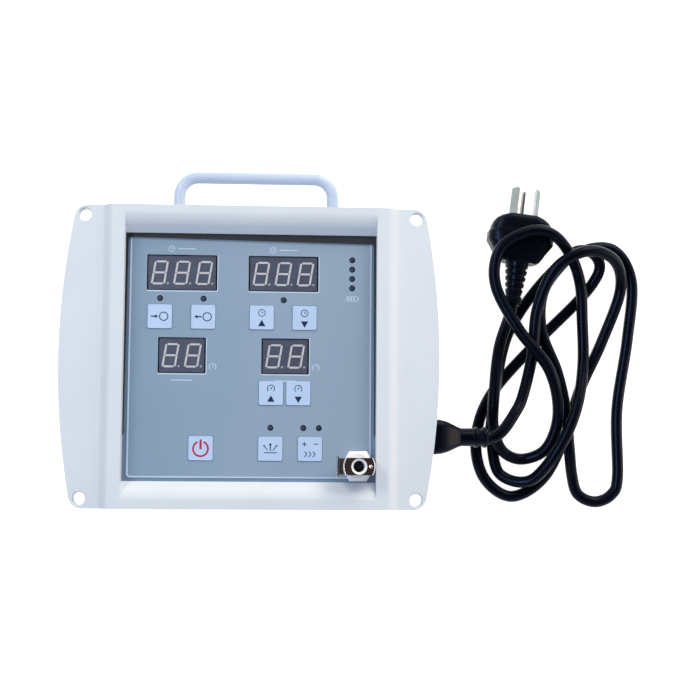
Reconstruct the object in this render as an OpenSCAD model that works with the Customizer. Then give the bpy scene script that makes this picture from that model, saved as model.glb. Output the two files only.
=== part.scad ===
// Pneumatic tourniquet system, lying on its back as photographed.
// +X is the operator's right, +Y is the handle side, +Z is out of the front panel.
// The origin is on the surface under the middle of the case. All sizes are in millimetres.

/* [Case] */
// Width of the case behind the bezel
case_w = 176; // [170:1:240]
// Height of the case, from its foot wall to its handle wall
case_h = 148; // [148:1:200]
// Depth of the case between the rear cover and the bezel
case_depth = 78; // [76:1:120]
// Thickness of the case walls
wall = 2; // [1.5:0.1:2.4]
// Outer radius of the case's long edges
case_r = 6; // [4:0.5:8]
// Thickness of the rear cover
rear_t = 2; // [1.6:0.1:3]
// Diameter of the long case screws
case_screw_d = 3.9; // [3:0.1:4.2]
// Thickness of the rubber feet on the foot wall
foot_h = 10.9; // [8:0.1:14]
// Diameter of the rubber feet
foot_d = 14; // [10:0.5:16]

/* [Bezel] */
// How far the bezel's corners reach past the case on each side
wing_out = 9; // [8:0.5:14]
// How far the bezel reaches past the case at the top and bottom
bar_out = 10; // [9:0.5:16]
// Extra reach of the curved side edges at mid height
bulge = 8.5; // [4:0.5:12]
// Thickness of the bezel's plate and wings
bezel_t = 6; // [5:0.5:8]
// Height of the raised frame above the wings
ridge_h = 4; // [3:0.5:6]
// Width of the raised frame beside the opening, at its top
ridge_w = 7.5; // [6:0.5:9]
// Width of the slope from the raised frame down to the wing
ridge_slope = 4.5; // [3:0.5:6]
// Width of the opening
open_w = 140; // [138:1:142]
// Height of the opening
open_h = 138; // [137:0.5:138.4]
// Width of the slope from the top and bottom bars down into the opening
bar_slope = 7; // [4:0.5:9]
// Corner radius of the bezel's outline
bezel_r = 6; // [4:0.5:7]
// Diameter of the four holes in the wings
wing_hole_d = 7; // [4:0.5:7]
// Distance of the wing holes outside the case, along each side
wing_hole_out = 4.5; // [4:0.5:5]

/* [Handle] */
// Distance between the handle's legs
handle_pitch = 90; // [60:1:110]
// Diameter of the handle's rod
handle_d = 7; // [6:0.5:9]
// Height of the handle's bar above the case, to the rod's middle
handle_h = 34.5; // [28:0.5:45]
// Bend radius of the handle, to the rod's middle
handle_r = 11; // [9:0.5:14]
// Place of the handle along the case's depth
handle_z = 45; // [40:1:48]
// Sideways place of the handle's middle
handle_x = 1.5; // [-5:0.5:5]

/* [Panel] */
// Thickness of the metal panel plate
panel_t = 1.7; // [1.5:0.1:2]
// Thickness of the printed film
film_t = 0.3; // [0.2:0.05:0.4]
// Width of the printed film
film_w = 135; // [134:0.5:137]
// Height of the printed film
film_h = 134; // [133:0.5:136]
// Overlap of the panel plate behind the bezel's ridges
panel_lap = 7; // [6:0.5:8]
// Thickness of the foam seal in front of the film
seal_t = 1; // [0.8:0.1:1.4]
// How far the foam seal shows under the top bar
seal_w = 4.6; // [3:0.1:5]
// Side of a square key
key_w = 13.5; // [11:0.1:14]
// Gap between the two pressure keys, which stand closest
key_gap = 1.7; // [1.5:0.1:3]
// How far a key stands proud of the film
key_proud = 0.5; // [0.4:0.1:1]
// Travel of a key
key_travel = 0.5; // [0.3:0.05:0.6]
// Gap round a key and round a display
panel_gap = 0.15; // [0.1:0.05:0.2]
// Diameter of the indicator lamps' holes
lamp_hole_d = 3.6; // [3.4:0.1:4]
// Distance from the panel's back to the display board
board_gap = 6.5; // [6.5:0.1:10]

/* [Hose coupling] */
// Bore that takes the hose plug
socket_d = 6.3; // [5:0.1:6.6]
// Diameter of the coupling's threaded shank
shank_d = 12.6; // [11:0.1:13]
// Width across the flats of the hexagon
hex_af = 16.6; // [15:0.1:16.8]
// Height of the latch housing in front of the hexagon
housing_h = 9; // [8:0.5:12]
// Travel of the thumb latch
latch_travel = 2; // [1:0.1:2]
// Travel of the trip pin
trip_travel = 1.5; // [1:0.1:2]
// Travel of the valve poppet
poppet_travel = 3; // [2:0.1:3.5]

/* [Mains lead] */
// Diameter of the mains lead
lead_d = 7; // [6:0.1:7]
// Height of the inlet above the rear cover's outer face
inlet_z = 30; // [28:1:32]
// Sideways place of the inlet along the right wall
inlet_y = -43; // [-45:1:-40]
// Length of the plug's pins
pin_len = 17; // [16:0.5:18.5]

/* [Hidden] */
$fn = 48;
fit = 0.3;
run = 0.05;
z_front = rear_t + case_depth;
z_face = z_front + panel_t + film_t;
z_wing = z_front + bezel_t;
z_top = z_wing + ridge_h;
in_w = case_w - 2*wall;
in_h = case_h - 2*wall;

// Corner posts carry the long case screws
post_in = 7;
post_w = 8;
post_x = case_w/2 - post_in;
post_y = case_h/2 - post_in - 0.5;
skirt_h = 5;
skirt_t = 1.7;
screw_r = case_screw_d/2;
panel_w = open_w + 2*panel_lap;
panel_h = open_h + 1.4;
panel_screw_x = open_w/2 + panel_lap/2;
wing_hole_x = case_w/2 + wing_hole_out;
wing_hole_y = case_h/2 + wing_hole_out;

// Places on the panel, from its middle
row_1 = 22.3;
row_2 = -19.8;
row_3 = -50.7;
pressure_x = 19.3;
KEYS = [
    ["key_inflate", -50.6, row_1],
    ["key_deflate", -26.5, row_1],
    ["key_time_up", 6.1, row_1],
    ["key_time_down", 30, row_1],
    ["key_pressure_up", pressure_x - (key_w + key_gap)/2, row_2],
    ["key_pressure_down", pressure_x + (key_w + key_gap)/2, row_2],
    ["key_power", -26.8, row_3],
    ["key_relieve", 11.7, row_3],
    ["key_speed", 33.7, row_3],
];
big_display = [37.6, 19];
small_display = [25, 19];
DISPLAYS = [
    ["elapsed_time_display", -38.6, 47, big_display, 3],
    ["set_time_display", 18, 47, big_display, 3],
    ["measured_pressure_display", -38, 0.7, small_display, 2],
    ["set_pressure_display", 19.4, 0.7, small_display, 2],
];
lamps_1 = row_1 + key_w/2 + 3.45;
lamps_3 = row_3 + key_w/2 + 4.85;
LAMPS = [
    [-50.6, lamps_1], [-26.5, lamps_1], [18.2, lamps_1 - 0.3],
    [56.5, 55.3], [56.5, 50], [56.5, 44.7], [56.5, 39.4],
    [11.6, lamps_3], [29.9, lamps_3], [38.5, lamps_3],
];
display_lip = 0.8;
display_t = 8;
ribbon_x = 40;
coupling = [film_w/2 - shank_d/2 - 1, shank_d/2 + 0.7 - film_h/2];
hex_h = 5.5;
collar_h = 2;
collar_d = 15.4;

// Display board and what stands on it
board_t = 1.6;
z_board = z_front - board_gap;
board_w = 138;
board_h = 126;
board_x = -0.5;
board_y = 3;
board_notch = [22, 20];
display_board_holes = [[-64, 62], [62, 62], [-64, -56], [46, -56]];
switch_h = 3.5;
switch_w = 6.2;
plunger_d = 3.5;

// Boards and units on the rear cover
z_chassis = rear_t;
low_board_gap = 6;
z_low = z_chassis + low_board_gap;
supply_board = [[28, -38], [86, 54]];
main_board_at = [[40, 34], [76, 50]];
low_board_inset = 4;
post_d = 5.5;
m3_r = 1.45;
battery_at = [-47, -41];
battery_size = [58, 34, 34];
pump_y = 30;
pump_z = 20;
motor_d = 24;
motor_x = -78;
motor_len = 32;
head_len = 22;
head_w = 28;
head_h = 30;
shaft_d = 2;
manifold_at = [-12, 34];
manifold_size = [14, 54, 12];
valve_y = [20, 44];
valve_d = 16;
valve_h = 22;
valve_travel = 1.5;
valve_plunger_d = 5.8;
tube_d = 5;

// Mains lead
connector_w = 16;
connector_l = 24;
inlet_cut = [27.5, 19.5];
inlet_flange = [40, 24];
inlet_flange_t = 3;
inlet_depth = 20;
lead_exit_x = case_w/2 + 55;
neck_x = case_w/2 + 36;
plug_tail = [160, 40, 11];
plug_turn = -7;

// Route of the mains lead's middle, from the connector to the plug
LEAD = [
    [143, -43, 30], [150, -39.5, 30], [158, -29, 27], [164, -18, 23], [171, 8, 18.5],
    [174, 36, 19.5], [184, 60, 25.5], [203, 71, 27.5], [222, 67, 19], [229, 50, 7],
    [218, 18, 3.5], [204, -12, 3.5], [194, -42, 3.5], [180, -68, 3.5], [160, -79, 3.5],
    [143, -67, 3.5], [138.5, -43, 3.5], [148, -16, 3.5], [176, 16, 3.5], [202, 42, 3.5],
    [213, 56, 6.5], [215.5, 65, 9], [211, 72, 11], [203, 74, 11], [195.5, 69.5, 11],
    [180, 49, 11], [178, 24, 11.5], [188, -2, 10], [193, -26, 11], [195, -48, 11],
    [198, -66, 5], [202, -77.5, 3.5], [212.5, -82, 3.5], [223, -77.5, 3.5], [227, -66, 3.5],
    [227, -25, 3.5], [234, 19, 3.5], [237, 56, 3.5], [225, 76, 3.5], [202, 73, 3.5],
    [180, 54, 3.5], [159, 23, 3.5], [149, -13, 11.5], [147.5, -30, 9.5], [148, -44, 3.7],
    [153, -65, 3.5], [171, -69, 10], [187, -49, 19], [198, -25, 18.5], [204, 2, 10.8],
    [204, 30, 10], [202, 52, 14], [195, 69, 19.5], [183, 81, 25.5], [168, 83, 27],
    [150, 72, 27], [147, 50, 26], [161, 23, 26], [180, -2, 25.5], [187, -28, 17],
    [181, -49, 11], [167, -56, 5], [154, -51, 9], [147.5, -37, 15], [147, -18, 20],
    [151, 12, 15], [160, 40, 11],
];
lead_rings = 2*len(LEAD) - 1;
lead_sides = 8;

// Shared shapes

function arc(cx, cy, r, from, to, steps) =
    [for (i = [0:steps]) let (a = from + (to - from)*i/steps) [cx + r*cos(a), cy + r*sin(a)]];

module rounded(w, h, r) {
    square([w - 2*r, h], center = true);
    square([w, h - 2*r], center = true);
    for (x = [-1, 1], y = [-1, 1])
        translate([x*(w/2 - r), y*(h/2 - r)]) circle(r);
}

module slab(w, h, r, z0, z1) {
    translate([0, 0, z0]) linear_extrude(z1 - z0) rounded(w, h, r);
}

module rod(x, y, z0, z1, r) {
    translate([x, y, z0]) cylinder(h = z1 - z0, r = r);
}

module box(x0, x1, y0, y1, z0, z1) {
    translate([x0, y0, z0]) cube([x1 - x0, y1 - y0, z1 - z0]);
}

module corners(x, y) {
    for (sx = [-1, 1], sy = [-1, 1]) translate([sx*x, sy*y, 0]) children();
}

module hexagon(af, h) {
    rotate(0) cylinder(h = h, r = af/2/cos(30), $fn = 6);
}

// A screw along +Z: flat end at 0, head on top at len
module screw(r, len, head_r, head_h) {
    cylinder(h = len, r = r);
    translate([0, 0, len]) cylinder(h = head_h, r = head_r);
}

// Swept tubes

function spline(p, t) =
    let (n = len(p) - 1,
         i = min(floor(t), n - 1),
         u = t - i,
         b = p[i],
         c = p[i + 1],
         a = i > 0 ? p[i - 1] : 2*b - c,
         d = i < n - 1 ? p[i + 2] : 2*c - b)
    0.5*(2*b + (c - a)*u + (2*a - 5*b + 4*c - d)*u*u + (3*b - a - 3*c + d)*u*u*u);

function route(p, rings) = [for (i = [0:rings - 1]) spline(p, i*(len(p) - 1)/(rings - 1))];

function unit(v) = v/norm(v);

// Carries a ring's side direction along the line without twist
function sides_along(dirs, i, side) =
    let (flat = side - (side*dirs[i])*dirs[i], s = unit(flat))
    i == len(dirs) - 1 ? [s] : concat([s], sides_along(dirs, i + 1, s));

module tube(line, r, n, start_dir, end_dir) {
    last = len(line) - 1;
    dirs = [for (i = [0:last])
        i == 0 ? unit(start_dir) : i == last ? unit(end_dir) : unit(line[i + 1] - line[i - 1])];
    first_side = abs(dirs[0][2]) < 0.9 ? [0, 0, 1] : [1, 0, 0];
    side = sides_along(dirs, 0, first_side);
    points = [for (i = [0:last], k = [0:n - 1])
        let (a = 360*(k + 0.5)/n, up = cross(dirs[i], side[i]))
        line[i] + r*(cos(a)*side[i] + sin(a)*up)];
    walls = [for (i = [0:last - 1], k = [0:n - 1])
        let (a = i*n + k, b = i*n + (k + 1)%n) each [[a, b, b + n], [a, b + n, a + n]]];
    caps = [for (k = [1:n - 2]) each [[0, k + 1, k], [last*n, last*n + k, last*n + k + 1]]];
    polyhedron(points, concat(walls, caps), convexity = 8);
}

// Case

module corner_post(z0, z1) {
    w = post_w/2 + case_w/2 - post_x;
    h = post_w/2 + case_h/2 - post_y;
    corners((case_w - w)/2, (case_h - h)/2) translate([0, 0, z0])
        linear_extrude(z1 - z0) square([w, h], center = true);
}

module case_shell() {
    vent_l = 16;
    color("gainsboro") difference() {
        union() {
            difference() {
                slab(case_w, case_h, case_r, rear_t, z_front);
                slab(in_w, in_h, case_r - wall, rear_t - 1, z_front + 1);
            }
            intersection() {
                corner_post(rear_t, z_front - skirt_h - fit);
                slab(case_w - wall, case_h - wall, case_r - wall/2, rear_t, z_front);
            }
        }
        corners(post_x, post_y) rod(0, 0, 0, z_front, screw_r + fit);
        translate([case_w/2 - wall/2, inlet_y, inlet_z])
            cube([2*wall, inlet_cut[1] + 2*fit, inlet_cut[0] + 2*fit], center = true);
        for (s = [-1, 1])
            translate([case_w/2 - 2*wall, inlet_y, inlet_z + s*inlet_flange[0]/2 - s*3.5])
                rotate([0, 90, 0]) cylinder(h = 3*wall, r = m3_r + 0.1);
        for (s = [-1, 1])
            translate([handle_x + s*handle_pitch/2, case_h/2 - 2*wall, handle_z])
                rotate([-90, 0, 0]) cylinder(h = 3*wall, r = 2.2);
        foot_places() translate([0, -case_h/2 - wall, 0])
            rotate([-90, 0, 0]) cylinder(h = 3*wall, r = 1.7);
        for (i = [0:5], j = [0, 1])
            translate([-case_w/2, 12 + 7*i, 22 + 26*j])
                cube([3*wall, 3, vent_l], center = true);
    }
}

module rear_cover() {
    color("gainsboro") difference() {
        slab(case_w, case_h, case_r, 0, rear_t);
        corners(post_x, post_y) {
            rod(0, 0, -1, rear_t + 1, screw_r + 0.15);
            translate([0, 0, -0.01]) cylinder(h = 1.9, r1 = screw_r + 1.9, r2 = screw_r + 0.01);
        }
    }
}

module case_screws() {
    color("silver") corners(post_x, post_y) difference() {
        union() {
            rod(0, 0, 0.05, z_wing - 3, screw_r);
            translate([0, 0, 0.05]) cylinder(h = 1.8, r1 = screw_r + 1.75, r2 = screw_r);
        }
        for (a = [0, 90]) rotate(a) translate([0, 0, 0.5])
            cube([2.6, 0.7, 1.2], center = true);
    }
}

// Feet stand on the foot wall, where the bezel hides them from the front
module foot_places() {
    for (x = [-1, 1], z = [16, case_depth - 26])
        translate([x*(case_w/2 - 20), 0, rear_t + z]) children();
}

module base_feet() {
    color("dimgray") foot_places() translate([0, -case_h/2, 0]) rotate([90, 0, 0])
        difference() {
            cylinder(h = foot_h, r1 = foot_d/2, r2 = foot_d/2 - 1.5);
            translate([0, 0, -1]) cylinder(h = foot_h + 2, r = 1.7);
            translate([0, 0, foot_h - 4]) cylinder(h = 5, r = 3.4);
        }
}

// Screws through the case's walls: four in the feet and two up the handle's legs
module wall_screws() {
    head = 2.6;
    color("silver") foot_places() translate([0, -case_h/2 - foot_h + 4 - 0.05, 0])
        rotate([90, 0, 0]) {
            translate([0, 0, -foot_h + 4 - 5]) cylinder(h = foot_h - 4 + 5, r = 1.6);
            cylinder(h = 2.2, r = 3);
        }
    color("silver") for (s = [-1, 1])
        translate([handle_x + s*handle_pitch/2, case_h/2 - wall, handle_z])
            rotate([-90, 0, 0]) {
                translate([0, 0, -head]) cylinder(h = head, r = 3.6);
                cylinder(h = wall + 10, r = 1.95);
            }
}

// Bezel

side_r = (pow(case_h/2 + bar_out, 2) + bulge*bulge)/(2*bulge);

// The outline of the right half, from the lower corner to the upper one
function half_outline() =
    let (half_w = case_w/2 + wing_out,
         half_h = case_h/2 + bar_out,
         cx = half_w + bulge - side_r,
         fy = half_h - bezel_r,
         fx = cx + sqrt(pow(side_r - bezel_r, 2) - fy*fy),
         a = asin(fy/(side_r - bezel_r)))
    concat(arc(fx, -fy, bezel_r, -90, -a, 6),
           arc(cx, 0, side_r, -a, a, 12),
           arc(fx, fy, bezel_r, a, 90, 6));

module bezel_outline() {
    right = half_outline();
    left = [for (i = [len(right) - 1:-1:0]) [-right[i][0], right[i][1]]];
    polygon(concat(right, left));
}

// A bar along X whose section is given in Y and Z
module along_x(points, length) {
    rotate([90, 0, 90]) linear_extrude(length, center = true) polygon(points);
}

module front_bezel() {
    foot_x = open_w/2 + ridge_w + ridge_slope;
    top_x = open_w/2 + ridge_w;
    lip = open_h/2 + bar_slope;
    full_h = case_h + 2*bar_out;
    color("whitesmoke") difference() {
        union() {
            difference() {
                translate([0, 0, z_front]) linear_extrude(bezel_t) bezel_outline();
                corners(wing_hole_x, wing_hole_y) rod(0, 0, z_front - 1, z_wing + 1, wing_hole_d/2);
            }
            rotate([90, 0, 0]) linear_extrude(full_h, center = true)
                polygon([[-foot_x, z_wing - 0.5], [foot_x, z_wing - 0.5], [foot_x, z_wing],
                         [top_x, z_top], [-top_x, z_top], [-foot_x, z_wing]]);
            difference() {
                slab(in_w - 2*fit, in_h - 2*fit, case_r - wall - fit,
                     z_front - skirt_h, z_front + 0.5);
                slab(in_w - 2*fit - 2*skirt_t, in_h - 2*fit - 2*skirt_t, 2,
                     z_front - skirt_h - 1, z_front + 1);
            }
            intersection() {
                corner_post(z_front - skirt_h, z_front + 0.5);
                slab(in_w - 2*fit, in_h - 2*fit, case_r - wall - fit,
                     z_front - skirt_h, z_front + 0.5);
            }
        }
        translate([0, 0, z_front]) cube([open_w, open_h, 4*z_top], center = true);
        for (s = [-1, 1])
            along_x([[s*(open_h/2 - 1), z_wing - 2], [s*open_h/2, z_wing - 2],
                     [s*lip, z_top + 0.01], [s*(open_h/2 - 1), z_top + 0.01]], open_w);
        box(-panel_w/2 - fit, panel_w/2 + fit, -panel_h/2 - fit, panel_h/2 + fit,
            z_front - skirt_h - 1, z_front + panel_t);
        corners(post_x, post_y) rod(0, 0, z_front - skirt_h - 1, z_wing - 2, screw_r + run);
        panel_screw_places() rod(0, 0, z_front, z_wing + 1.5, m3_r + run);
    }
}

module panel_screw_places() {
    for (x = [-1, 1], y = [-1, 0, 1])
        translate([x*panel_screw_x, y*(open_h/2 - 15), 0]) children();
}

// Handle

module carry_handle() {
    leg = handle_h - handle_r;
    half = handle_pitch/2;
    color("lightsteelblue") translate([handle_x, case_h/2, handle_z]) rotate([-90, 0, 0])
        difference() {
            union() {
                for (s = [-1, 1]) {
                    translate([s*half, 0, 0]) cylinder(h = leg, r = handle_d/2);
                    translate([s*half, 0, 0]) cylinder(h = 2.5, r = handle_d/2 + 2);
                    translate([s*(half - handle_r), 0, leg]) rotate([90, s > 0 ? 0 : -90, 0])
                        rotate_extrude(angle = 90) translate([handle_r, 0]) circle(handle_d/2);
                }
                translate([0, 0, handle_h]) rotate([0, 90, 0])
                    cylinder(h = 2*(half - handle_r), r = handle_d/2, center = true);
            }
            for (s = [-1, 1]) translate([s*half, 0, -1]) cylinder(h = 13, r = 2);
        }
}

// Front panel

module panel_openings(z0, z1) {
    for (k = KEYS)
        box(k[1] - key_w/2 - panel_gap, k[1] + key_w/2 + panel_gap,
            k[2] - key_w/2 - panel_gap, k[2] + key_w/2 + panel_gap, z0, z1);
    for (d = DISPLAYS)
        box(d[1] - d[3][0]/2 - display_lip, d[1] + d[3][0]/2 + display_lip,
            d[2] - d[3][1]/2 - 0.5, d[2] + d[3][1]/2 + 0.5, z0, z1);
    for (p = LAMPS) rod(p[0], p[1], z0, z1, lamp_hole_d/2);
    rod(coupling[0], coupling[1], z0, z1, shank_d/2 + 0.2);
}

module front_panel() {
    color("slategray") difference() {
        box(-panel_w/2, panel_w/2, -panel_h/2, panel_h/2, z_front, z_front + panel_t);
        panel_openings(z_front - 1, z_face + 1);
        panel_screw_places() rod(0, 0, z_front - 1, z_face + 1, m3_r + 0.2);
    }
}

module panel_film() {
    color("lightslategray") difference() {
        slab(film_w, film_h, 2, z_front + panel_t, z_face);
        panel_openings(z_front, z_face + 1);
    }
}

// Foam seal on the panel's edge, under the top bar and down both ridges
module panel_seal() {
    x = open_w/2 - fit;
    color("black") difference() {
        box(-x, x, coupling[1] + hex_af, open_h/2 - fit, z_front + panel_t, z_face + seal_t);
        slab(film_w + 2*fit, film_h + 2*fit, 2, z_front, z_face);
        box(1 - x, x - 1, -open_h/2, open_h/2 - seal_w, z_front, z_top);
    }
}

module panel_screws() {
    color("silver") panel_screw_places() translate([0, 0, z_front + panel_t + 4.5])
        rotate([180, 0, 0]) screw(m3_r, panel_t + 4.5, 2.6, 2);
}

// Display board

module display_board() {
    x0 = board_x - board_w/2;
    x1 = board_x + board_w/2;
    y0 = board_y - board_h/2;
    y1 = board_y + board_h/2;
    color("seagreen") difference() {
        union() {
            box(x0, x1, y0, y1, z_board - board_t, z_board);
            box(ribbon_x - 12, ribbon_x + 12, 8, 16, z_board - board_t - 6, z_board - board_t + 0.1);
            box(-30, -10, -24, -12, z_board - board_t - 2.4, z_board - board_t + 0.1);
        }
        box(x1 - board_notch[0], x1 + 1, y0 - 1, y0 + board_notch[1], z_board - 3, z_board + 1);
        for (p = display_board_holes) rod(p[0], p[1], z_board - 3, z_board + 1, m3_r + 0.15);
    }
}

module low_board_places() {
    for (b = [supply_board, main_board_at], sx = [-1, 1], sy = [-1, 1])
        translate([b[0][0] + sx*(b[1][0]/2 - low_board_inset),
                   b[0][1] + sy*(b[1][1]/2 - low_board_inset), 0]) children();
}

module pillar(z0, z1) {
    translate([0, 0, z0]) difference() {
        hexagon(post_d, z1 - z0);
        translate([0, 0, -1]) cylinder(h = z1 - z0 + 2, r = m3_r + run);
    }
}

module board_posts() {
    color("silver") {
        for (p = display_board_holes) translate([p[0], p[1], 0]) pillar(z_board, z_front);
        low_board_places() pillar(z_chassis, z_low);
    }
}

module board_screws() {
    color("silver") {
        for (p = display_board_holes)
            translate([p[0], p[1], z_board + board_gap - 1]) rotate([180, 0, 0])
                screw(m3_r, board_gap - 1 + board_t, 2.6, 2);
        low_board_places() translate([0, 0, z_chassis + 1])
            screw(m3_r, low_board_gap - 1 + board_t, 2.6, 2);
        bracket_holes() translate([0, 0, z_chassis + 1]) screw(m3_r, 0.5, 2.6, 2);
    }
}

module key_switches() {
    color("black") for (k = KEYS) translate([k[1], k[2], z_board]) difference() {
        translate([0, 0, switch_h/2]) cube([switch_w, switch_w, switch_h], center = true);
        translate([0, 0, 1]) cylinder(h = switch_h, r = plunger_d/2 + 0.1);
    }
}

module indicator_lamps() {
    lens_r = 1.5;
    color("darkslategray") for (p = LAMPS) translate([p[0], p[1], 0]) {
        rod(0, 0, z_board + 3, z_face - lens_r - 0.4, lens_r);
        translate([0, 0, z_face - lens_r - 0.4]) sphere(lens_r);
        rod(0, 0, z_board + 3, z_board + 3.8, lens_r + 0.3);
        for (s = [-1, 1]) translate([s*0.8, 0, z_board + 1.55])
            cube([0.5, 0.5, 3.1], center = true);
    }
}

module led_display(x, y, size) {
    color("darkslategray") translate([x, y, z_board + display_t/2])
        cube([size[0], size[1], display_t], center = true);
}

module key(x, y) {
    top = z_face + key_proud;
    flange_t = 0.8;
    flange = 1;
    stem_z = z_board + switch_h + key_travel + 0.6;
    color("lightblue") translate([x, y, 0]) {
        slab(key_w, key_w, 1, z_front - 0.1, top);
        translate([0, 0, z_front - 0.1 - flange_t/2])
            cube([key_w, key_w + 2*flange, flange_t], center = true);
        rod(0, 0, stem_z, z_front - 0.1 - flange_t + 0.1, 2.4);
    }
    color("white") rod(x, y, z_board + 1 + key_travel + 0.3, stem_z, plunger_d/2);
}

module buzzer() {
    color("black") difference() {
        rod(-46, -30, z_board - board_t - 7.5, z_board - board_t, 6);
        rod(-46, -30, z_board - board_t - 8, z_board - board_t - 6.5, 1);
    }
}

// Hose coupling: hexagon, collar and latch housing, with a shank through the panel

chamber_r = 4;
z_hex = z_face + hex_h;
z_housing = z_hex + collar_h;
z_mouth = z_housing + housing_h;
z_slot = z_housing + 2.6;
slot_h = 1.4;
shank_len = 15;
trip_x = 6.2;
housing_w = 17.6;
housing_flat = 9.4;
latch_w = 8.8;
chamber_top = z_face + 3;

module at_coupling() {
    translate([coupling[0], coupling[1], 0]) children();
}

module coupling_body() {
    color("silver") at_coupling() difference() {
        union() {
            rod(0, 0, z_face - shank_len - 1, z_face, shank_d/2);
            translate([0, 0, z_face]) rotate(0) hexagon(hex_af, hex_h);
            rod(0, 0, z_hex - 0.01, z_housing, collar_d/2);
            intersection() {
                rod(0, 0, z_housing - 0.01, z_mouth, housing_w/2);
                translate([0, 0, z_mouth]) cube([30, housing_flat, 60], center = true);
            }
        }
        rod(0, 0, chamber_top, z_mouth + 1, socket_d/2);
        translate([0, 0, z_mouth - 1.2]) cylinder(h = 1.21, r1 = socket_d/2, r2 = socket_d/2 + 1.2);
        rod(0, 0, z_face - shank_len - 2, chamber_top, chamber_r);
        box(-housing_w, 4.7, -housing_w, housing_w, z_slot, z_slot + slot_h);
        rod(trip_x, 0, z_mouth - 5.5, z_mouth + 1, 1 + run);
        translate([-housing_w/2 - 1, 0, z_housing + 1.3]) rotate([0, 90, 0])
            cylinder(h = 5, r = 1.2);
    }
}

module coupling_latch() {
    hole_r = socket_d/2 + 0.2;
    plate_t = 1.2;
    tab_x = -9.7 - 1.2;
    color("lightgray") at_coupling() {
        difference() {
            box(tab_x, 2.6, -latch_w/2, latch_w/2, z_slot + 0.1, z_slot + 0.1 + plate_t);
            translate([-latch_travel/2 - 0.3, 0, 0]) {
                rod(0, 0, z_slot - 1, z_slot + 3, hole_r);
                box(-latch_travel/2, latch_travel/2 + 9, -hole_r, hole_r, z_slot - 1, z_slot + 3);
            }
        }
        difference() {
            box(tab_x - 1.2, tab_x, -5.6, 5.6, z_housing - 1.4, z_mouth - 1.2);
            box(tab_x - 2, tab_x - 0.9, -4, 4, z_housing + 0.4, z_housing + 0.8);
        }
    }
}

module latch_spring() {
    color("silver") at_coupling() translate([-10.8, 0, z_housing + 1.3])
        rotate([0, 90, 0]) difference() {
            cylinder(h = 5.9, r = 1);
            translate([0, 0, -1]) cylinder(h = 9, r = 0.7);
        }
}

module trip_pin() {
    color("silver") at_coupling() {
        rod(trip_x, 0, z_mouth - 3.5, z_mouth + 0.3, 1);
        translate([trip_x, 0, z_mouth + 0.3]) cylinder(h = 0.6, r1 = 1, r2 = 0.5);
    }
}

module coupling_nut() {
    nut_t = 3.5;
    color("silver") at_coupling() translate([0, 0, z_front - nut_t]) difference() {
        hexagon(hex_af, nut_t);
        translate([0, 0, -1]) cylinder(h = nut_t + 2, r = shank_d/2 + run);
    }
}

z_shank = z_face - shank_len - 1;

module coupling_barb() {
    color("silver") at_coupling() difference() {
        union() {
            rod(0, 0, z_shank, z_shank + 4, chamber_r - run);
            rod(0, 0, z_shank - 2, z_shank, shank_d/2);
            rod(0, 0, z_shank - 14, z_shank - 2, 1.9);
            for (i = [0:2]) translate([0, 0, z_shank - 13.5 + 3*i])
                cylinder(h = 2.4, r1 = 1.95, r2 = 2.45);
        }
        rod(0, 0, z_shank - 15, z_shank - 5, 1);
        rod(0, 0, z_shank - 5.01, z_shank + 5, 1.3);
        for (a = [0:120:240]) rotate(a) rod(2.6, 0, z_shank - 1, z_shank + 5, 0.7);
    }
}

module valve_poppet() {
    color("lightgray") at_coupling() {
        rod(0, 0, chamber_top - 2, chamber_top - 0.1, chamber_r - 0.35);
        rod(0, 0, chamber_top - 0.2, chamber_top + 1.6, 2.2);
        rod(0, 0, z_shank - 1, chamber_top - 1.9, 1.2);
    }
}

module poppet_spring() {
    color("silver") at_coupling() difference() {
        rod(0, 0, z_shank + 4, chamber_top - 2, 2.8);
        rod(0, 0, z_shank + 3, chamber_top - 1, 2.2);
    }
}

// Mains inlet, connector, lead and plug

module at_inlet() {
    translate([case_w/2, inlet_y, inlet_z]) children();
}

module power_inlet() {
    color("black") at_inlet() difference() {
        union() {
            translate([inlet_flange_t/2, 0, 0])
                cube([inlet_flange_t, inlet_flange[1], inlet_flange[0]], center = true);
            translate([-inlet_depth/2 + 0.01, 0, 0])
                cube([inlet_depth, inlet_cut[1], inlet_cut[0]], center = true);
            for (z = [-7, 0, 7]) translate([-inlet_depth - 4, z == 0 ? 2.5 : -2.5, z])
                cube([8.1, 0.8, 4.8], center = true);
        }
        translate([-7, 0, 0]) cube([22, connector_w + 0.6, connector_l + 0.6], center = true);
        for (s = [-1, 1]) translate([-1, 0, s*(inlet_flange[0]/2 - 3.5)])
            rotate([0, 90, 0]) cylinder(h = 6, r = m3_r + 0.1);
    }
    color("silver") at_inlet() for (z = [-7, 0, 7])
        translate([-9, z == 0 ? 2.5 : -2.5, z]) cube([18, 2, 4], center = true);
}

module inlet_screws() {
    color("silver") at_inlet() for (s = [-1, 1])
        translate([inlet_flange_t, 0, s*(inlet_flange[0]/2 - 3.5)]) rotate([0, 90, 0]) {
            translate([0, 0, -inlet_flange_t - wall - 3])
                cylinder(h = inlet_flange_t + wall + 3, r = m3_r);
            cylinder(h = 1.8, r = 2.7);
        }
}

// The connector's outline in X: distance along the inlet's axis and half width
function connector_half(w) =
    let (x0 = case_w/2 + inlet_flange_t + 0.4, r = 5.5, step = w - r)
    [[x0, w], [neck_x - 15, w], [neck_x - 8, r + 0.74*step], [neck_x - 3.5, r + 0.34*step],
     [neck_x + 0.5, r]];

function mirrored(p) = concat(p, [for (i = [len(p) - 1:-1:0]) [p[i][0], -p[i][1]]]);

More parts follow.
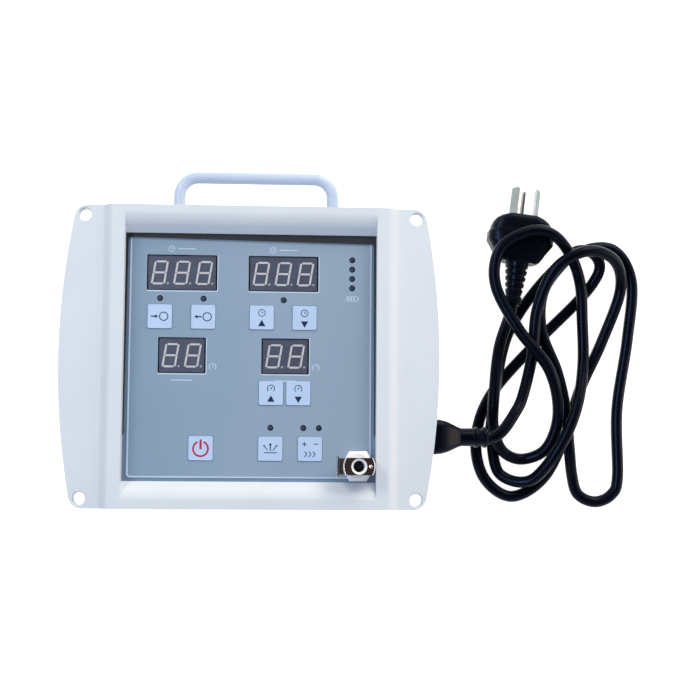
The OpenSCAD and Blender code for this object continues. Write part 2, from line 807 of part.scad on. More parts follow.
// Ribbed sleeve along +Z: grooves at the given heights
function sleeve(len, r0, r1, rim, grooves) =
    concat([[0, 0], [r0, 0]],
           [for (z = grooves) let (r = r0 + (r1 - r0)*z/len)
               each [[r, z - 0.8], [r - 0.9, z - 0.8], [r - 0.9, z + 0.8], [r, z + 0.8]]],
           [[r1, len - rim], [r1 + 0.8, len - rim], [r1 + 0.8, len], [0, len]]);

// Smooth neck along +Z with two rings near its end
function ringed_neck(len, r, ring_r) =
    concat([[0, 0], [r, 0]],
           [for (z = [len - 10, len - 5])
               each [[r, z], [ring_r, z + 0.5], [ring_r, z + 2.5], [r - 0.5, z + 3]]],
           [[r - 0.8, len], [0, len]]);

module power_connector() {
    nose_x = case_w/2 - 15;
    color("black") translate([0, inlet_y, inlet_z]) difference() {
        union() {
            intersection() {
                translate([0, 0, -15]) linear_extrude(30) polygon(mirrored(connector_half(10.4)));
                rotate([90, 0, 0]) linear_extrude(40, center = true)
                    polygon(mirrored(connector_half(13.5)));
                rotate([90, 0, 90]) linear_extrude(2*neck_x) rounded(20.8, 27, 4);
            }
            translate([neck_x - 2, 0, 0]) rotate([0, 90, 0]) rotate_extrude()
                polygon(ringed_neck(lead_exit_x - neck_x + 2, 5.4, 6.2));
            translate([nose_x, -connector_w/2, -connector_l/2])
                cube([case_w/2 + inlet_flange_t + 0.5 - nose_x, connector_w, connector_l]);
        }
        for (z = [-7, 0, 7]) translate([nose_x - 1 + 9, z == 0 ? 2.5 : -2.5, z])
            cube([18.2, 2.6, 4.6], center = true);
    }
}

module power_cord() {
    line = [for (p = route(LEAD, lead_rings)) [p[0], p[1], max(p[2], lead_d/2)]];
    gap = least_gap(line, lead_d);
    echo(lead_length = lead_length(line), least_gap = gap);
    color("black") tube(line, lead_d/2, lead_sides, [1, 0, 0], [-sin(plug_turn), cos(plug_turn), 0]);
}

function lead_length(line, i = 0, sum = 0) =
    i >= len(line) - 1 ? sum : lead_length(line, i + 1, sum + norm(line[i + 1] - line[i]));

// The least distance between parts of a line that lie over four diameters apart along it
function least_gap(line, d) =
    let (apart = ceil(4*d/(lead_length(line)/(len(line) - 1))))
    min([for (i = [0:len(line) - 2 - apart], j = [i + apart:len(line) - 2])
        segments_apart(line[i], line[i + 1], line[j], line[j + 1])]) - d;

function clamp01(t) = min(1, max(0, t));

function point_to_segment(p, a, b) =
    norm(p - a - clamp01((p - a)*(b - a)/((b - a)*(b - a)))*(b - a));

function segments_apart(a, b, c, d) =
    let (u = b - a, v = d - c, w = a - c,
         uu = u*u, uv = u*v, vv = v*v, uw = u*w, vw = v*w,
         den = uu*vv - uv*uv,
         s = den > 0.001 ? clamp01((uv*vw - vv*uw)/den) : 0,
         t = clamp01((uv*s + vw)/vv),
         s2 = clamp01((uv*t - uw)/uu))
    min(norm(w + s2*u - t*v), point_to_segment(a, c, d), point_to_segment(b, c, d),
        point_to_segment(c, a, b), point_to_segment(d, a, b));

module at_plug() {
    translate(plug_tail) rotate(plug_turn) children();
}

// The plug's head from above and from the side: distance from its tail end and half width
PLUG_TOP = [[25.5, 10.5], [26.5, 12.8], [29, 14.5], [32, 16.2], [35, 18.2], [38, 20.3],
            [43, 20.3], [44.5, 19.3], [47, 18.9], [50, 17.8], [52, 16.2], [53.8, 13.6],
            [55, 10.5]];
PLUG_SIDE = [[25.5, 7.8], [28, 9], [35, 10.6], [38, 10.9], [43, 10.9], [44.5, 10.4],
             [53, 10.4], [55, 9.4]];

function along_y(p) = [for (q = mirrored(p)) [q[1], q[0]]];

module plug_body() {
    color("black") at_plug() difference() {
        union() {
            intersection() {
                translate([0, 0, -20]) linear_extrude(40) polygon(along_y(PLUG_TOP));
                rotate([0, 90, 0]) linear_extrude(60, center = true) polygon(along_y(PLUG_SIDE));
                rotate([-90, 0, 0]) linear_extrude(60) rounded(40.6, 21.8, 8);
            }
            translate([0, 28, 0]) rotate([90, 0, 0]) rotate_extrude()
                polygon(sleeve(28, 7.6, 4.6, 4.5, [6.5, 10.5, 14.5, 18.5]));
        }
        pin_shapes(44, 60);
    }
}

// Three flat pins: two turned thirty degrees either way and the upright earth pin below them
module pin_shapes(y0, y1) {
    for (p = [[-6.85, 4.6, 30], [6.85, 4.6, -30], [0, -5.7, 0]])
        translate([p[0], y0, p[1]]) rotate([-90, 0, 0]) rotate(p[2] + 90)
            translate([-3.2, -0.8, 0]) cube([6.4, 1.6, y1 - y0]);
}

module plug_pins() {
    color("silver") at_plug() pin_shapes(44, 55 + pin_len);
}

// Units on the rear cover

module supply_board() {
    x = supply_board[0][0];
    y = supply_board[0][1];
    w = supply_board[1][0];
    h = supply_board[1][1];
    color("darkolivegreen") difference() {
        union() {
            box(x - w/2, x + w/2, y - h/2, y + h/2, z_low, z_low + board_t);
            rod(x + 14, y + 14, z_low + 1, z_low + board_t + 22, 8);
            rod(x + 30, y + 15, z_low + 1, z_low + board_t + 14, 5);
            box(x - 34, x - 30, y - 22, y + 12, z_low + 1, z_low + board_t + 20);
            box(x + 14, x + 28, y - 20, y - 8, z_low + 1, z_low + board_t + 8);
            box(x - 28, x - 8, y + 18, y + 24, z_low + 1, z_low + board_t + 9);
        }
        low_board_places() rod(0, 0, z_low - 1, z_low + 3, m3_r + 0.15);
    }
}

module supply_transformer() {
    x = supply_board[0][0] - 11.5;
    y = supply_board[0][1] - 3;
    z = z_low + board_t;
    color("orange") {
        box(x - 17, x + 17, y - 14, y + 14, z, z + 5);
        box(x - 13, x + 13, y - 10, y + 10, z + 5, z + 23);
        box(x - 17, x + 17, y - 14, y + 14, z + 23, z + 28);
    }
}

module main_board() {
    x = main_board_at[0][0];
    y = main_board_at[0][1];
    w = main_board_at[1][0];
    h = main_board_at[1][1];
    color("seagreen") difference() {
        union() {
            box(x - w/2, x + w/2, y - h/2, y + h/2, z_low, z_low + board_t);
            box(x - 6, x + 8, y - 7, y + 7, z_low + 1, z_low + board_t + 1.6);
            box(x + 16, x + 26, y - 4, y + 12, z_low + 1, z_low + board_t + 4);
            box(x - 12, x + 12, y - 22, y - 16, z_low + 1, z_low + board_t + 6);
            for (i = [0:2]) rod(x + 14 + 7*i, y - 14, z_low + 1, z_low + board_t + 9, 3);
        }
        low_board_places() rod(0, 0, z_low - 1, z_low + 3, m3_r + 0.15);
    }
}

sensor_at = [14, 48];

module pressure_sensor() {
    color("white") {
        translate([sensor_at[0], sensor_at[1], z_low + board_t + 3])
            cube([9, 9, 6], center = true);
        rod(sensor_at[0], sensor_at[1], z_low + board_t + 5.9, z_low + board_t + 12, 1.6);
    }
}

module battery_pack() {
    color("royalblue") translate([battery_at[0], battery_at[1], z_chassis])
        slab(battery_size[0], battery_size[1], 3, 0, battery_size[2]);
}

bracket_t = 1.2;
bracket_w = 14;
bracket_foot = 9;

module bracket_holes() {
    for (s = [-1, 1])
        translate([battery_at[0], battery_at[1] + s*(battery_size[1]/2 + fit + bracket_foot - 4), 0])
            children();
}

module battery_bracket() {
    half = battery_size[1]/2 + fit;
    top = battery_size[2] + fit;
    foot = half + bracket_foot;
    color("silver") difference() {
        translate([battery_at[0], battery_at[1], z_chassis]) along_x(
            [[-foot, 0], [-half, 0], [-half, top], [half, top], [half, 0], [foot, 0],
             [foot, bracket_t], [half + bracket_t, bracket_t],
             [half + bracket_t, top + bracket_t], [-half - bracket_t, top + bracket_t],
             [-half - bracket_t, bracket_t], [-foot, bracket_t]], bracket_w);
        bracket_holes() rod(0, 0, z_chassis - 1, z_chassis + 3, m3_r + 0.1);
    }
}

head_x = motor_x + motor_len;

module pump_motor() {
    color("silver") translate([motor_x, pump_y, pump_z]) rotate([0, 90, 0]) {
        difference() {
            cylinder(h = motor_len, r = motor_d/2);
            translate([0, 0, 2]) cylinder(h = motor_len, r = shaft_d/2 + run);
        }
        for (s = [-1, 1]) translate([0, s*6, -2]) cylinder(h = 2.1, r = 1.2);
    }
}

module pump_head() {
    cavity = 9.5;
    color("dimgray") difference() {
        union() {
            box(head_x, head_x + head_len, pump_y - head_w/2, pump_y + head_w/2,
                pump_z - head_h/2 + 1, pump_z + head_h/2 + 1);
            for (s = [-1, 1])
                rod(head_x + head_len - 5, pump_y + s*5, pump_z + head_h/2, pump_z + head_h/2 + 8, 1.7);
        }
        translate([head_x - 1, pump_y, pump_z]) rotate([0, 90, 0])
            cylinder(h = head_len - 7, r = cavity);
    }
}

module pump_crank() {
    color("gold") translate([head_x, pump_y, pump_z]) rotate([0, 90, 0]) {
        translate([0, 0, -motor_len + 4]) cylinder(h = motor_len - 4 + 10, r = shaft_d/2);
        translate([1.5, 0, 3]) cylinder(h = 6, r = 6);
        translate([-4.5, 0, 3]) cylinder(h = 3, r = 3);
    }
}

module pump_cradle() {
    color("silver") difference() {
        union() {
            box(motor_x + 3, head_x + head_len, pump_y - 16, pump_y + 16, z_chassis, z_chassis + 3);
            for (x = [motor_x + 4, head_x - 10])
                box(x, x + 5, pump_y - 13, pump_y + 13, z_chassis, pump_z);
        }
        translate([motor_x - 1, pump_y, pump_z]) rotate([0, 90, 0])
            cylinder(h = motor_len + 2, r = motor_d/2 + 0.05);
        box(head_x, head_x + head_len + 1, pump_y - head_w/2 - fit, pump_y + head_w/2 + fit,
            pump_z - head_h/2 + 1, pump_z + head_h);
    }
}

z_valve = z_chassis + manifold_size[2];

module nozzle_places() {
    translate([manifold_at[0], manifold_at[1] - 2, 0]) children();
    translate([manifold_at[0], manifold_at[1] + manifold_size[1]/2 - 4, 0]) children();
}

module valve_manifold() {
    x = manifold_at[0];
    y = manifold_at[1];
    color("silver") difference() {
        union() {
            box(x - manifold_size[0]/2, x + manifold_size[0]/2, y - manifold_size[1]/2,
                y + manifold_size[1]/2, z_chassis, z_valve);
            nozzle_places() rod(0, 0, z_valve - 1, z_valve + 6, 1.7);
            translate([x, y - manifold_size[1]/2, z_chassis + 6]) rotate([90, 0, 0])
                cylinder(h = 6, r = 1.7);
        }
        translate([x, y - manifold_size[1]/2 - 7, z_chassis + 6]) rotate([-90, 0, 0])
            cylinder(h = manifold_size[1] + 3, r = 1);
        nozzle_places() rod(0, 0, z_chassis + 6, z_valve + 7, 0.9);
        for (v = valve_y) rod(x, v, z_chassis + 6, z_valve + 1, 1);
    }
}

module valve_coils() {
    color("goldenrod") for (v = valve_y) translate([manifold_at[0], v, z_valve]) difference() {
        union() {
            cylinder(h = valve_h, r = valve_d/2 - 1);
            cylinder(h = 2.5, r = valve_d/2);
            translate([0, 0, valve_h - 2.5]) cylinder(h = 2.5, r = valve_d/2);
        }
        translate([0, 0, -1]) cylinder(h = 17, r = valve_plunger_d/2 + run);
    }
}

module valve_plunger(y) {
    color("silver") translate([manifold_at[0], y, z_valve + 0.1])
        cylinder(h = 12, r = valve_plunger_d/2);
}

module air_tubes() {
    barb = [coupling[0], coupling[1], z_shank - 6];
    outlet = [manifold_at[0], manifold_at[1] - manifold_size[1]/2, z_chassis + 6];
    middle = [manifold_at[0], manifold_at[1] - 2, z_valve];
    sensor_port = [manifold_at[0], manifold_at[1] + manifold_size[1]/2 - 4, z_valve];
    pump_port = [head_x + head_len - 5, pump_y + 5, pump_z + head_h/2 + 1];
    sensor = [sensor_at[0], sensor_at[1], z_low + board_t + 6];
    high = z_shank - 17;
    color("ivory") {
        tube(route([barb, barb - [0, 0, 6], [58, -57, high + 4], [47, -44, high], [28, -18, high - 2],
                    [8, -8, high - 8], [-6, -8, 24], [-12, -7, 12],
                    outlet - [0, 8, 0], outlet], 25),
             tube_d/2, 8, [0, 0, -1], [0, 1, 0]);
        tube(route([pump_port, pump_port + [0, 0, 8], [-25, 34, 52], [-17, 33, 52],
                    middle + [0, 0, 30], middle + [0, 0, 16], middle], 16),
             tube_d/2, 8, [0, 0, 1], [0, 0, -1]);
        tube(route([sensor_port, sensor_port + [0, 0, 10], sensor_port + [7, -2, 22],
                    sensor + [-7, 2, 14], sensor + [0, 0, 8], sensor], 13),
             tube_d/2 - 0.3, 8, [0, 0, 1], [0, 0, -1]);
    }
}

module ribbon_cable() {
    y = main_board_at[0][1];
    low = z_low + board_t + 6;
    high = z_board - board_t - 6;
    color("lightgray") translate([ribbon_x, 0, 0]) along_x(
        [[11.5, high], [12.3, high], [12.3, high - 10], [8.3, high - 14], [8.3, low + 16],
         [y - 18.6, low + 8], [y - 18.6, low], [y - 19.4, low], [y - 19.4, low + 7.6],
         [7.5, low + 15.4], [7.5, high - 13.6], [11.5, high - 9.6]], 18);
}

front_bezel();
case_shell();
rear_cover();
case_screws();
base_feet();
wall_screws();
carry_handle();
front_panel();
panel_film();
panel_seal();
panel_screws();
display_board();
board_posts();
board_screws();
key_switches();
indicator_lamps();
for (d = DISPLAYS) led_display(d[1], d[2], d[3]);
for (k = KEYS) key(k[1], k[2]);
buzzer();
coupling_body();
coupling_barb();
coupling_nut();
coupling_latch();
latch_spring();
trip_pin();
valve_poppet();
poppet_spring();
power_inlet();
inlet_screws();
power_connector();
power_cord();
plug_body();
plug_pins();
supply_board();
supply_transformer();
main_board();
pressure_sensor();
battery_pack();
battery_bracket();
pump_motor();
pump_head();
pump_crank();
pump_cradle();
valve_manifold();
valve_coils();
valve_plunger(valve_y[0]);  // inflate_plunger
valve_plunger(valve_y[1]);  // release_plunger
air_tubes();
ribbon_cable();
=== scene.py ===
"""Looks of a pneumatic tourniquet system, lying on its back with its mains lead beside it.

Sizes are in millimetres in the classes below, from the part's own plan: +X is the
operator's right, +Y the handle side, +Z out of the front panel. Each finished piece is
brought to metres when it is handed over.
"""
import logging
import math
from collections.abc import Callable, Iterator, Sequence
from contextlib import contextmanager
from dataclasses import dataclass, field
from enum import Enum

import bmesh
import bpy
from mathutils import Matrix, Vector


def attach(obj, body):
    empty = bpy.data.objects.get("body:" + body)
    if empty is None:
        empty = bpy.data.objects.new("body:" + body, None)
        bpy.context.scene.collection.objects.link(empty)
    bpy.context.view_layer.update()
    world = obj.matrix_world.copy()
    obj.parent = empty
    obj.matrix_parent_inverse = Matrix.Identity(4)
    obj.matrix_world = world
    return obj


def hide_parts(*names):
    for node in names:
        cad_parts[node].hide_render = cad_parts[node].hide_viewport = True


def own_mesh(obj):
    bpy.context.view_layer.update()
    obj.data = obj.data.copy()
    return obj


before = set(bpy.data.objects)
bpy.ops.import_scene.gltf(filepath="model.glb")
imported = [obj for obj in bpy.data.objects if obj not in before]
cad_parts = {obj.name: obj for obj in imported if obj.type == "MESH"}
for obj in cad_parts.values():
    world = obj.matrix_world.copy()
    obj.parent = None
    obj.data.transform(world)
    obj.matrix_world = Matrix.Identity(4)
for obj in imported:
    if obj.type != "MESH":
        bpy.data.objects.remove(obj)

Point = tuple[float, float, float]
Spot = tuple[float, float]
Piece = bpy.types.Object
Corner = bmesh.types.BMVert
Edge = bmesh.types.BMEdge
Face = bmesh.types.BMFace
Tree = bpy.types.NodeTree
Socket = bpy.types.NodeSocket
Surface = tuple[Socket, Socket, Socket]

log = logging.getLogger("tourniquet")
MM = 0.001
# A noise keeps nearly all of its values between these two.
NOISE_LOW, NOISE_HIGH = 0.3, 0.7
# No turn about any axis.
STRAIGHT: Point = (0.0, 0.0, 0.0)
# The hose coupling's middle on the front panel.
COUPLING_SPOT: Spot = (60.2, -60.0)


class Part(Enum):
    """What a selection picks in edit mode."""

    CORNERS = "VERT"
    EDGES = "EDGE"
    FACES = "FACE"


class Cut(Enum):
    """How a boolean tool acts on a piece."""

    AWAY = "DIFFERENCE"
    ADD = "UNION"
    KEEP = "INTERSECT"


class Facing(Enum):
    """Turns that carry the lathe's axis, +Z, to another direction."""

    UP = (0.0, 0.0, 0.0)
    DOWN = (math.pi, 0.0, 0.0)
    RIGHT = (0.0, math.pi / 2, 0.0)
    AWAY = (-math.pi / 2, 0.0, 0.0)
    NEAR = (math.pi / 2, 0.0, 0.0)


# Finishes


def linear(code: str) -> tuple[float, float, float, float]:
    """Turn an sRGB hex colour into Blender's linear colour.

    Args:
        code: Six hex digits, such as "8FA5BC".

    Returns:
        Linear red, green, blue and an alpha of 1.
    """
    parts = [int(code[i : i + 2], 16) / 255 for i in (0, 2, 4)]
    red, green, blue = (c / 12.92 if c <= 0.04045 else ((c + 0.055) / 1.055) ** 2.4 for c in parts)
    return red, green, blue, 1.0


def add_node(
    tree: Tree,
    kind: str,
    inputs: dict[str | int, object] | None = None,
    stops: Sequence[tuple[float, str]] = (),
    **settings: object,
) -> bpy.types.Node:
    """Add a shader node with its settings, values and links.

    Args:
        tree: The material's or world's node tree.
        kind: Blender's type name of the node.
        inputs: Values or other nodes' outputs for its sockets, by name or number.
        stops: Place and sRGB hex colour of each stop, where the node has a colour ramp.
        **settings: Properties of the node itself.

    Returns:
        The new node.
    """
    made = tree.nodes.new(kind)
    for name, value in settings.items():
        setattr(made, name, value)
    for name, value in (inputs or {}).items():
        if isinstance(value, Socket):
            tree.links.new(value, made.inputs[name])
        else:
            made.inputs[name].default_value = value
    if stops:
        elements = made.color_ramp.elements
        while len(elements) < len(stops):
            elements.new(0.5)
        for element, (place, code) in zip(elements, stops):
            element.position, element.color = place, linear(code)
    return made


@dataclass(frozen=True)
class Finish:
    """What every surface has: a colour, a gloss, and a slow drift and a fine grain in both."""

    name: str
    colour: str
    second: str
    roughness: float
    ior: float | None = 1.5
    drift_mm: float = 40.0
    grain_mm: float = 0.4
    grain_height_mm: float = 0.01
    roughness_spread: float = 0.08
    coat: float = 0.0
    coat_roughness: float = 0.1
    metallic: float = 0.0
    specular: float = 0.5
    mirrored: str = "FFFFFF"

    def material(self) -> bpy.types.Material:
        """Make the material once, and give the same one after that.

        Returns:
            The material with this finish's name.
        """
        made = bpy.data.materials.get(self.name)
        if made:
            return made
        made = bpy.data.materials.new(self.name)
        made.use_nodes = True
        made.diffuse_color = linear(self.colour)
        tree = made.node_tree
        shader = tree.nodes["Principled BSDF"]
        if self.ior is not None:
            shader.inputs["IOR"].default_value = self.ior
        shader.inputs["Metallic"].default_value = self.metallic
        shader.inputs["Specular IOR Level"].default_value = self.specular
        shader.inputs["Specular Tint"].default_value = linear(self.mirrored)
        shader.inputs["Coat Weight"].default_value = self.coat
        shader.inputs["Coat Roughness"].default_value = self.coat_roughness
        place = add_node(tree, "ShaderNodeTexCoord").outputs["Object"]
        colour, rough, height = self.pattern(tree, place)
        tree.links.new(colour, shader.inputs["Base Color"])
        tree.links.new(rough, shader.inputs["Roughness"])
        relief = {"Height": height, "Distance": self.grain_height_mm * MM, "Strength": 1.0}
        bump = add_node(tree, "ShaderNodeBump", relief)
        tree.links.new(bump.outputs["Normal"], shader.inputs["Normal"])
        return made

    def pattern(self, tree: Tree, place: Socket) -> Surface:
        """Draw the surface's own pattern.

        Args:
            tree: The material's node tree.
            place: Object coordinates, in metres.

        Returns:
            The sockets of colour, roughness and height.
        """
        slow = self.drift(tree, place)
        fine = self.grain(tree, place)
        return self.tint(tree, slow), self.gloss(tree, fine), fine

    def drift(self, tree: Tree, place: Socket) -> Socket:
        """Draw the slow drift."""
        slow = {"Vector": place, "Scale": 1 / (self.drift_mm * MM), "Detail": 3.0}
        return add_node(tree, "ShaderNodeTexNoise", slow).outputs[0]

    def grain(self, tree: Tree, place: Socket) -> Socket:
        """Draw the fine grain."""
        fine = {"Vector": place, "Scale": 1 / (self.grain_mm * MM), "Detail": 2.0}
        return add_node(tree, "ShaderNodeTexNoise", fine).outputs[0]

    def tint(self, tree: Tree, share: Socket) -> Socket:
        """Go from the first colour to the second by a share that lies mostly in the middle."""
        stops = [(NOISE_LOW, self.colour), (NOISE_HIGH, self.second)]
        return add_node(tree, "ShaderNodeValToRGB", {"Fac": share}, stops).outputs["Color"]

    def gloss(self, tree: Tree, share: Socket) -> Socket:
        """Spread the roughness a little both ways.

        Args:
            tree: The material's node tree.
            share: The noise that spreads it.

        Returns:
            The roughness.
        """
        low, high = self.roughness - self.roughness_spread, self.roughness + self.roughness_spread
        reach = {"From Min": NOISE_LOW, "From Max": NOISE_HIGH, "To Min": low, "To Max": high}
        return add_node(tree, "ShaderNodeMapRange", {"Value": share, **reach}).outputs[0]


@dataclass(frozen=True)
class Brushed(Finish):
    """Metal drawn or brushed one way: fine lines along an axis, seen as a streaked gloss."""

    along: int = 0
    line_mm: float = 0.25
    stretch: float = 40.0

    def pattern(self, tree: Tree, place: Socket) -> Surface:
        """Stretch the grain along the brushing.

        Args:
            tree: The material's node tree.
            place: Object coordinates, in metres.

        Returns:
            The sockets of colour, roughness and height.
        """
        scale = [1.0, 1.0, 1.0]
        scale[self.along] = 1 / self.stretch
        lengthwise = add_node(tree, "ShaderNodeMapping", {"Vector": place, "Scale": scale})
        slow = self.drift(tree, place)
        fine = {"Vector": lengthwise.outputs[0], "Scale": 1 / (self.line_mm * MM), "Detail": 4.0}
        lines = add_node(tree, "ShaderNodeTexNoise", fine).outputs[0]
        return self.tint(tree, slow), self.gloss(tree, lines), lines


@dataclass(frozen=True)
class Moulded(Finish):
    """A moulding's fine stipple over faint slow wrinkles, as of a skin that shrank unevenly."""

    wrinkle_mm: float = 5.0
    wrinkle_share: float = 0.8
    wrinkle_scale: Point = (0.5, 1.0, 1.0)

    def pattern(self, tree: Tree, place: Socket) -> Surface:
        """Add the wrinkles' height to the grain's.

        Args:
            tree: The material's node tree.
            place: Object coordinates, in metres.

        Returns:
            The sockets of colour, roughness and height.
        """
        slow = self.drift(tree, place)
        fine = self.grain(tree, place)
        wide = add_node(tree, "ShaderNodeMapping", {"Vector": place, "Scale": self.wrinkle_scale})
        slow_folds = {"Vector": wide.outputs[0], "Scale": 1 / (self.wrinkle_mm * MM), "Detail": 2.0}
        folds = add_node(tree, "ShaderNodeTexNoise", slow_folds).outputs[0]
        summed = {0: folds, 1: self.wrinkle_share, 2: fine}
        lumps = add_node(tree, "ShaderNodeMath", summed, operation="MULTIPLY_ADD")
        return self.tint(tree, slow), self.gloss(tree, fine), lumps.outputs[0]


@dataclass(frozen=True)
class Gradient(Finish):
    """A printed sheet with painted shade and sheen: its colour runs darker at the left and paler at
    the right, as light from the right would show it.
    """

    half_mm: float = 67.5
    middle: str = "8CA2B8"
    drift_share: float = 0.3

    def tint(self, tree: Tree, share: Socket) -> Socket:
        """Go from the first colour at the left to the second at the right, a painted shade, with a
        slow drift.

        Args:
            tree: The material's node tree.
            share: The drift.

        Returns:
            The colour.
        """
        place = add_node(tree, "ShaderNodeTexCoord").outputs["Object"]
        x = add_node(tree, "ShaderNodeSeparateXYZ", {"Vector": place}).outputs["X"]
        reach = {"From Min": -self.half_mm * MM, "From Max": self.half_mm * MM}
        across = add_node(tree, "ShaderNodeMapRange", {"Value": x, **reach}).outputs[0]
        small = {0: share, 1: self.drift_share}
        drift = add_node(tree, "ShaderNodeMath", small, operation="MULTIPLY")
        summed = {0: across, 1: 1 - self.drift_share, 2: drift.outputs[0]}
        both = add_node(tree, "ShaderNodeMath", summed, operation="MULTIPLY_ADD").outputs[0]
        stops = [(0.1, self.colour), (0.5, self.middle), (0.9, self.second)]
        return add_node(tree, "ShaderNodeValToRGB", {"Fac": both}, stops).outputs["Color"]


@dataclass(frozen=True)
class Circuit(Finish):
    """Glass-epoxy board: tracks under green lacquer, and dark parts above its surface."""

    track_mm: float = 1.6
    track_edge: Spot = (0.30, 0.36)
    parts_colour: str = "26282D"
    top_mm: float = 9.62
    blend_mm: float = 0.02

    def pattern(self, tree: Tree, place: Socket) -> Surface:
        """Draw tracks as the edges of a square cell pattern, and colour what stands on the board.

        Args:
            tree: The material's node tree.
            place: Object coordinates, in metres.

        Returns:
            The sockets of colour, roughness and height.
        """
        grid = {"Vector": place, "Scale": 1 / (self.track_mm * MM)}
        cells = add_node(tree, "ShaderNodeTexVoronoi", grid, distance="MANHATTAN")
        low, high = self.track_edge
        reach = {"Value": cells.outputs["Distance"], "From Min": low, "From Max": high}
        tracks = add_node(tree, "ShaderNodeMapRange", reach).outputs[0]
        stops = [(0, self.colour), (1, self.second)]
        lacquer = add_node(tree, "ShaderNodeValToRGB", {"Fac": tracks}, stops).outputs["Color"]
        z = add_node(tree, "ShaderNodeSeparateXYZ", {"Vector": place}).outputs["Z"]
        top = self.top_mm * MM
        reach = {"Value": z, "From Min": top, "From Max": top + self.blend_mm * MM}
        above = add_node(tree, "ShaderNodeMapRange", reach).outputs[0]
        sides = {0: above, 6: lacquer, 7: linear(self.parts_colour)}
        colour = add_node(tree, "ShaderNodeMix", sides, data_type="RGBA").outputs[2]
        fine = self.grain(tree, place)
        return colour, self.gloss(tree, fine), tracks


@dataclass(frozen=True)
class Striped(Finish):
    """A surface of parallel rounds side by side: a wound coil, or the wires of a ribbon cable."""

    across: int = 0
    stripe_mm: float = 1.27

    def pattern(self, tree: Tree, place: Socket) -> Surface:
        """Draw one wave for each stripe, with the second colour in the grooves.

        Args:
            tree: The material's node tree.
            place: Object coordinates, in metres.

        Returns:
            The sockets of colour, roughness and height.
        """
        # A wave texture has 20 radians of scale to a turn.
        bands = {"Vector": place, "Scale": math.tau / (20 * self.stripe_mm * MM)}
        way = "XYZ"[self.across]
        wave = add_node(tree, "ShaderNodeTexWave", bands, bands_direction=way).outputs[0]
        fine = self.grain(tree, place)
        return self.tint(tree, wave), self.gloss(tree, fine), wave


# Real grains of 0.1 to 0.3 mm and brushing lines of 0.05 mm are too fine to show in the whole
# view, so they are drawn two to five times as coarse.

# Bezel and case: ABS in a spark-eroded mould, a fine even stipple that keeps highlights soft.
BEZEL_ABS = Moulded(
    "moulded_abs_bezel", "DDE3EA", "D8DEE6", 0.42, 1.53, 60, 0.7, 0.045, specular=0.15
)
CASE_ABS = Finish("moulded_abs_case", "DEE2E6", "D6DADF", 0.5, 1.53, 50, 0.8, 0.025)
# Polyester film with a velvet face, printed from behind: its colour runs darker at the left and
# paler at the right, a painted shade and sheen, with a slow drift.
FILM_POLYESTER = Gradient(
    "printed_polyester_film", "7590A8", "91A5B9", 0.42, 1.57, 50, 0.35, 0.004
)
# Thin lines paler than the film along its edges and windows, partly print and partly a painted
# highlight of edges that catch the light.
TRIM_PRINT_AND_HIGHLIGHT = Finish("edge_print_and_painted_highlight", "B9CFE6", "C6D9EC", 0.35, 1.5, 12, 0.4, 0.004)
# Seal: closed-cell rubber foam, near black and quite dull. It stands for the dark band under the
# top bar, partly the seal's own black and partly painted shade.
SEAL_FOAM_AND_SHADE = Finish("foam_seal_and_painted_shade", "16181C", "1D1F24", 0.85, 1.5, 6, 0.5, 0.05)
# Steel panel under stoved enamel, seen only round the film: the film's blue, a little deeper, and
# like the film darker at the left and paler at the right, a painted shade.
PANEL_ENAMEL = Gradient(
    "stoved_panel_enamel", "647D99", "7A91AC", 0.45, 1.5, 30, 0.5, 0.008,
    half_mm=77, middle="7089A4",
)  # fmt: skip
# Screen inks: flat, matt and slightly raised, with no shine of their own.
INK_PALE = Finish("screen_ink_pale", "C5DDF0", "BAD3EA", 0.5, 1.5, 6, 0.3, 0.002)
INK_NAVY = Finish("screen_ink_navy", "14214A", "182652", 0.5, 1.5, 6, 0.3, 0.002, specular=0.2)
INK_RED = Finish("screen_ink_red", "B92050", "B01B49", 0.5, 1.5, 6, 0.3, 0.002, specular=0.2)
# Keys: ABS moulded with a fine matt face, pale and cool against the film.
KEY_ABS = Finish("moulded_abs_key", "BBD2F2", "B4CCEE", 0.42, 1.53, 14, 0.45, 0.008)
# Digit displays: dark filled face under a thin gloss, with milky unlit segments and dots.
DISPLAY_FACE = Finish(
    "display_face_epoxy", "50566A", "474D5F", 0.3, 1.5, 9, 0.3, 0.003, coat=0.4
)
DISPLAY_CASE = Finish("filled_display_case", "3C414D", "363B46", 0.5, 1.5, 12, 0.5, 0.01)
SEGMENT_EPOXY = Finish("segment_epoxy", "CDCACF", "BFBCC2", 0.35, 1.5, 5, 0.3, 0.003)
DOT_EPOXY = Finish("dot_epoxy", "A9A8B0", "9C9BA4", 0.35, 1.5, 5, 0.3, 0.003)
# Lamps: smoked epoxy, dark blue while they are off.
LAMP_EPOXY = Finish(
    "smoked_lamp_epoxy", "26374D", "1F2F43", 0.5, 1.5, 4, 0.5, 0.002, specular=0.25
)
# Coupling: turned brass under bright chrome, mirror with a faint waviness.
CHROME = Finish(
    "bright_chrome_plate", "D8D2CE", "CCC5C0", 0.1, None, 8, 0.8, 0.001, 0.04, metallic=1
)
# The same plate, given a near-white, half-metallic colour on the hexagon, collar and countersink: a
# painted reflection, for the bright light that these faces mirror.
CHROME_WITH_PAINTED_REFLECTION = Finish(
    "chrome_with_painted_reflection", "EEEFF0", "E4E6E8", 0.5, None, 6, 0.3, 0.004, metallic=0.35
)
# Latch: pressed sheet steel, its fine rolling lines along Y.
LATCH_STEEL = Brushed(
    "pressed_steel_latch", "BFC3C6", "B2B6BA", 0.2, None, 10, 0.4, 0.001, 0.04, metallic=1, along=1
)
# Springs: drawn steel wire, smooth and a little dark.
SPRING_STEEL = Finish(
    "drawn_spring_wire", "A9ABAE", "9B9DA1", 0.25, None, 4, 0.2, 0.002, metallic=1
)
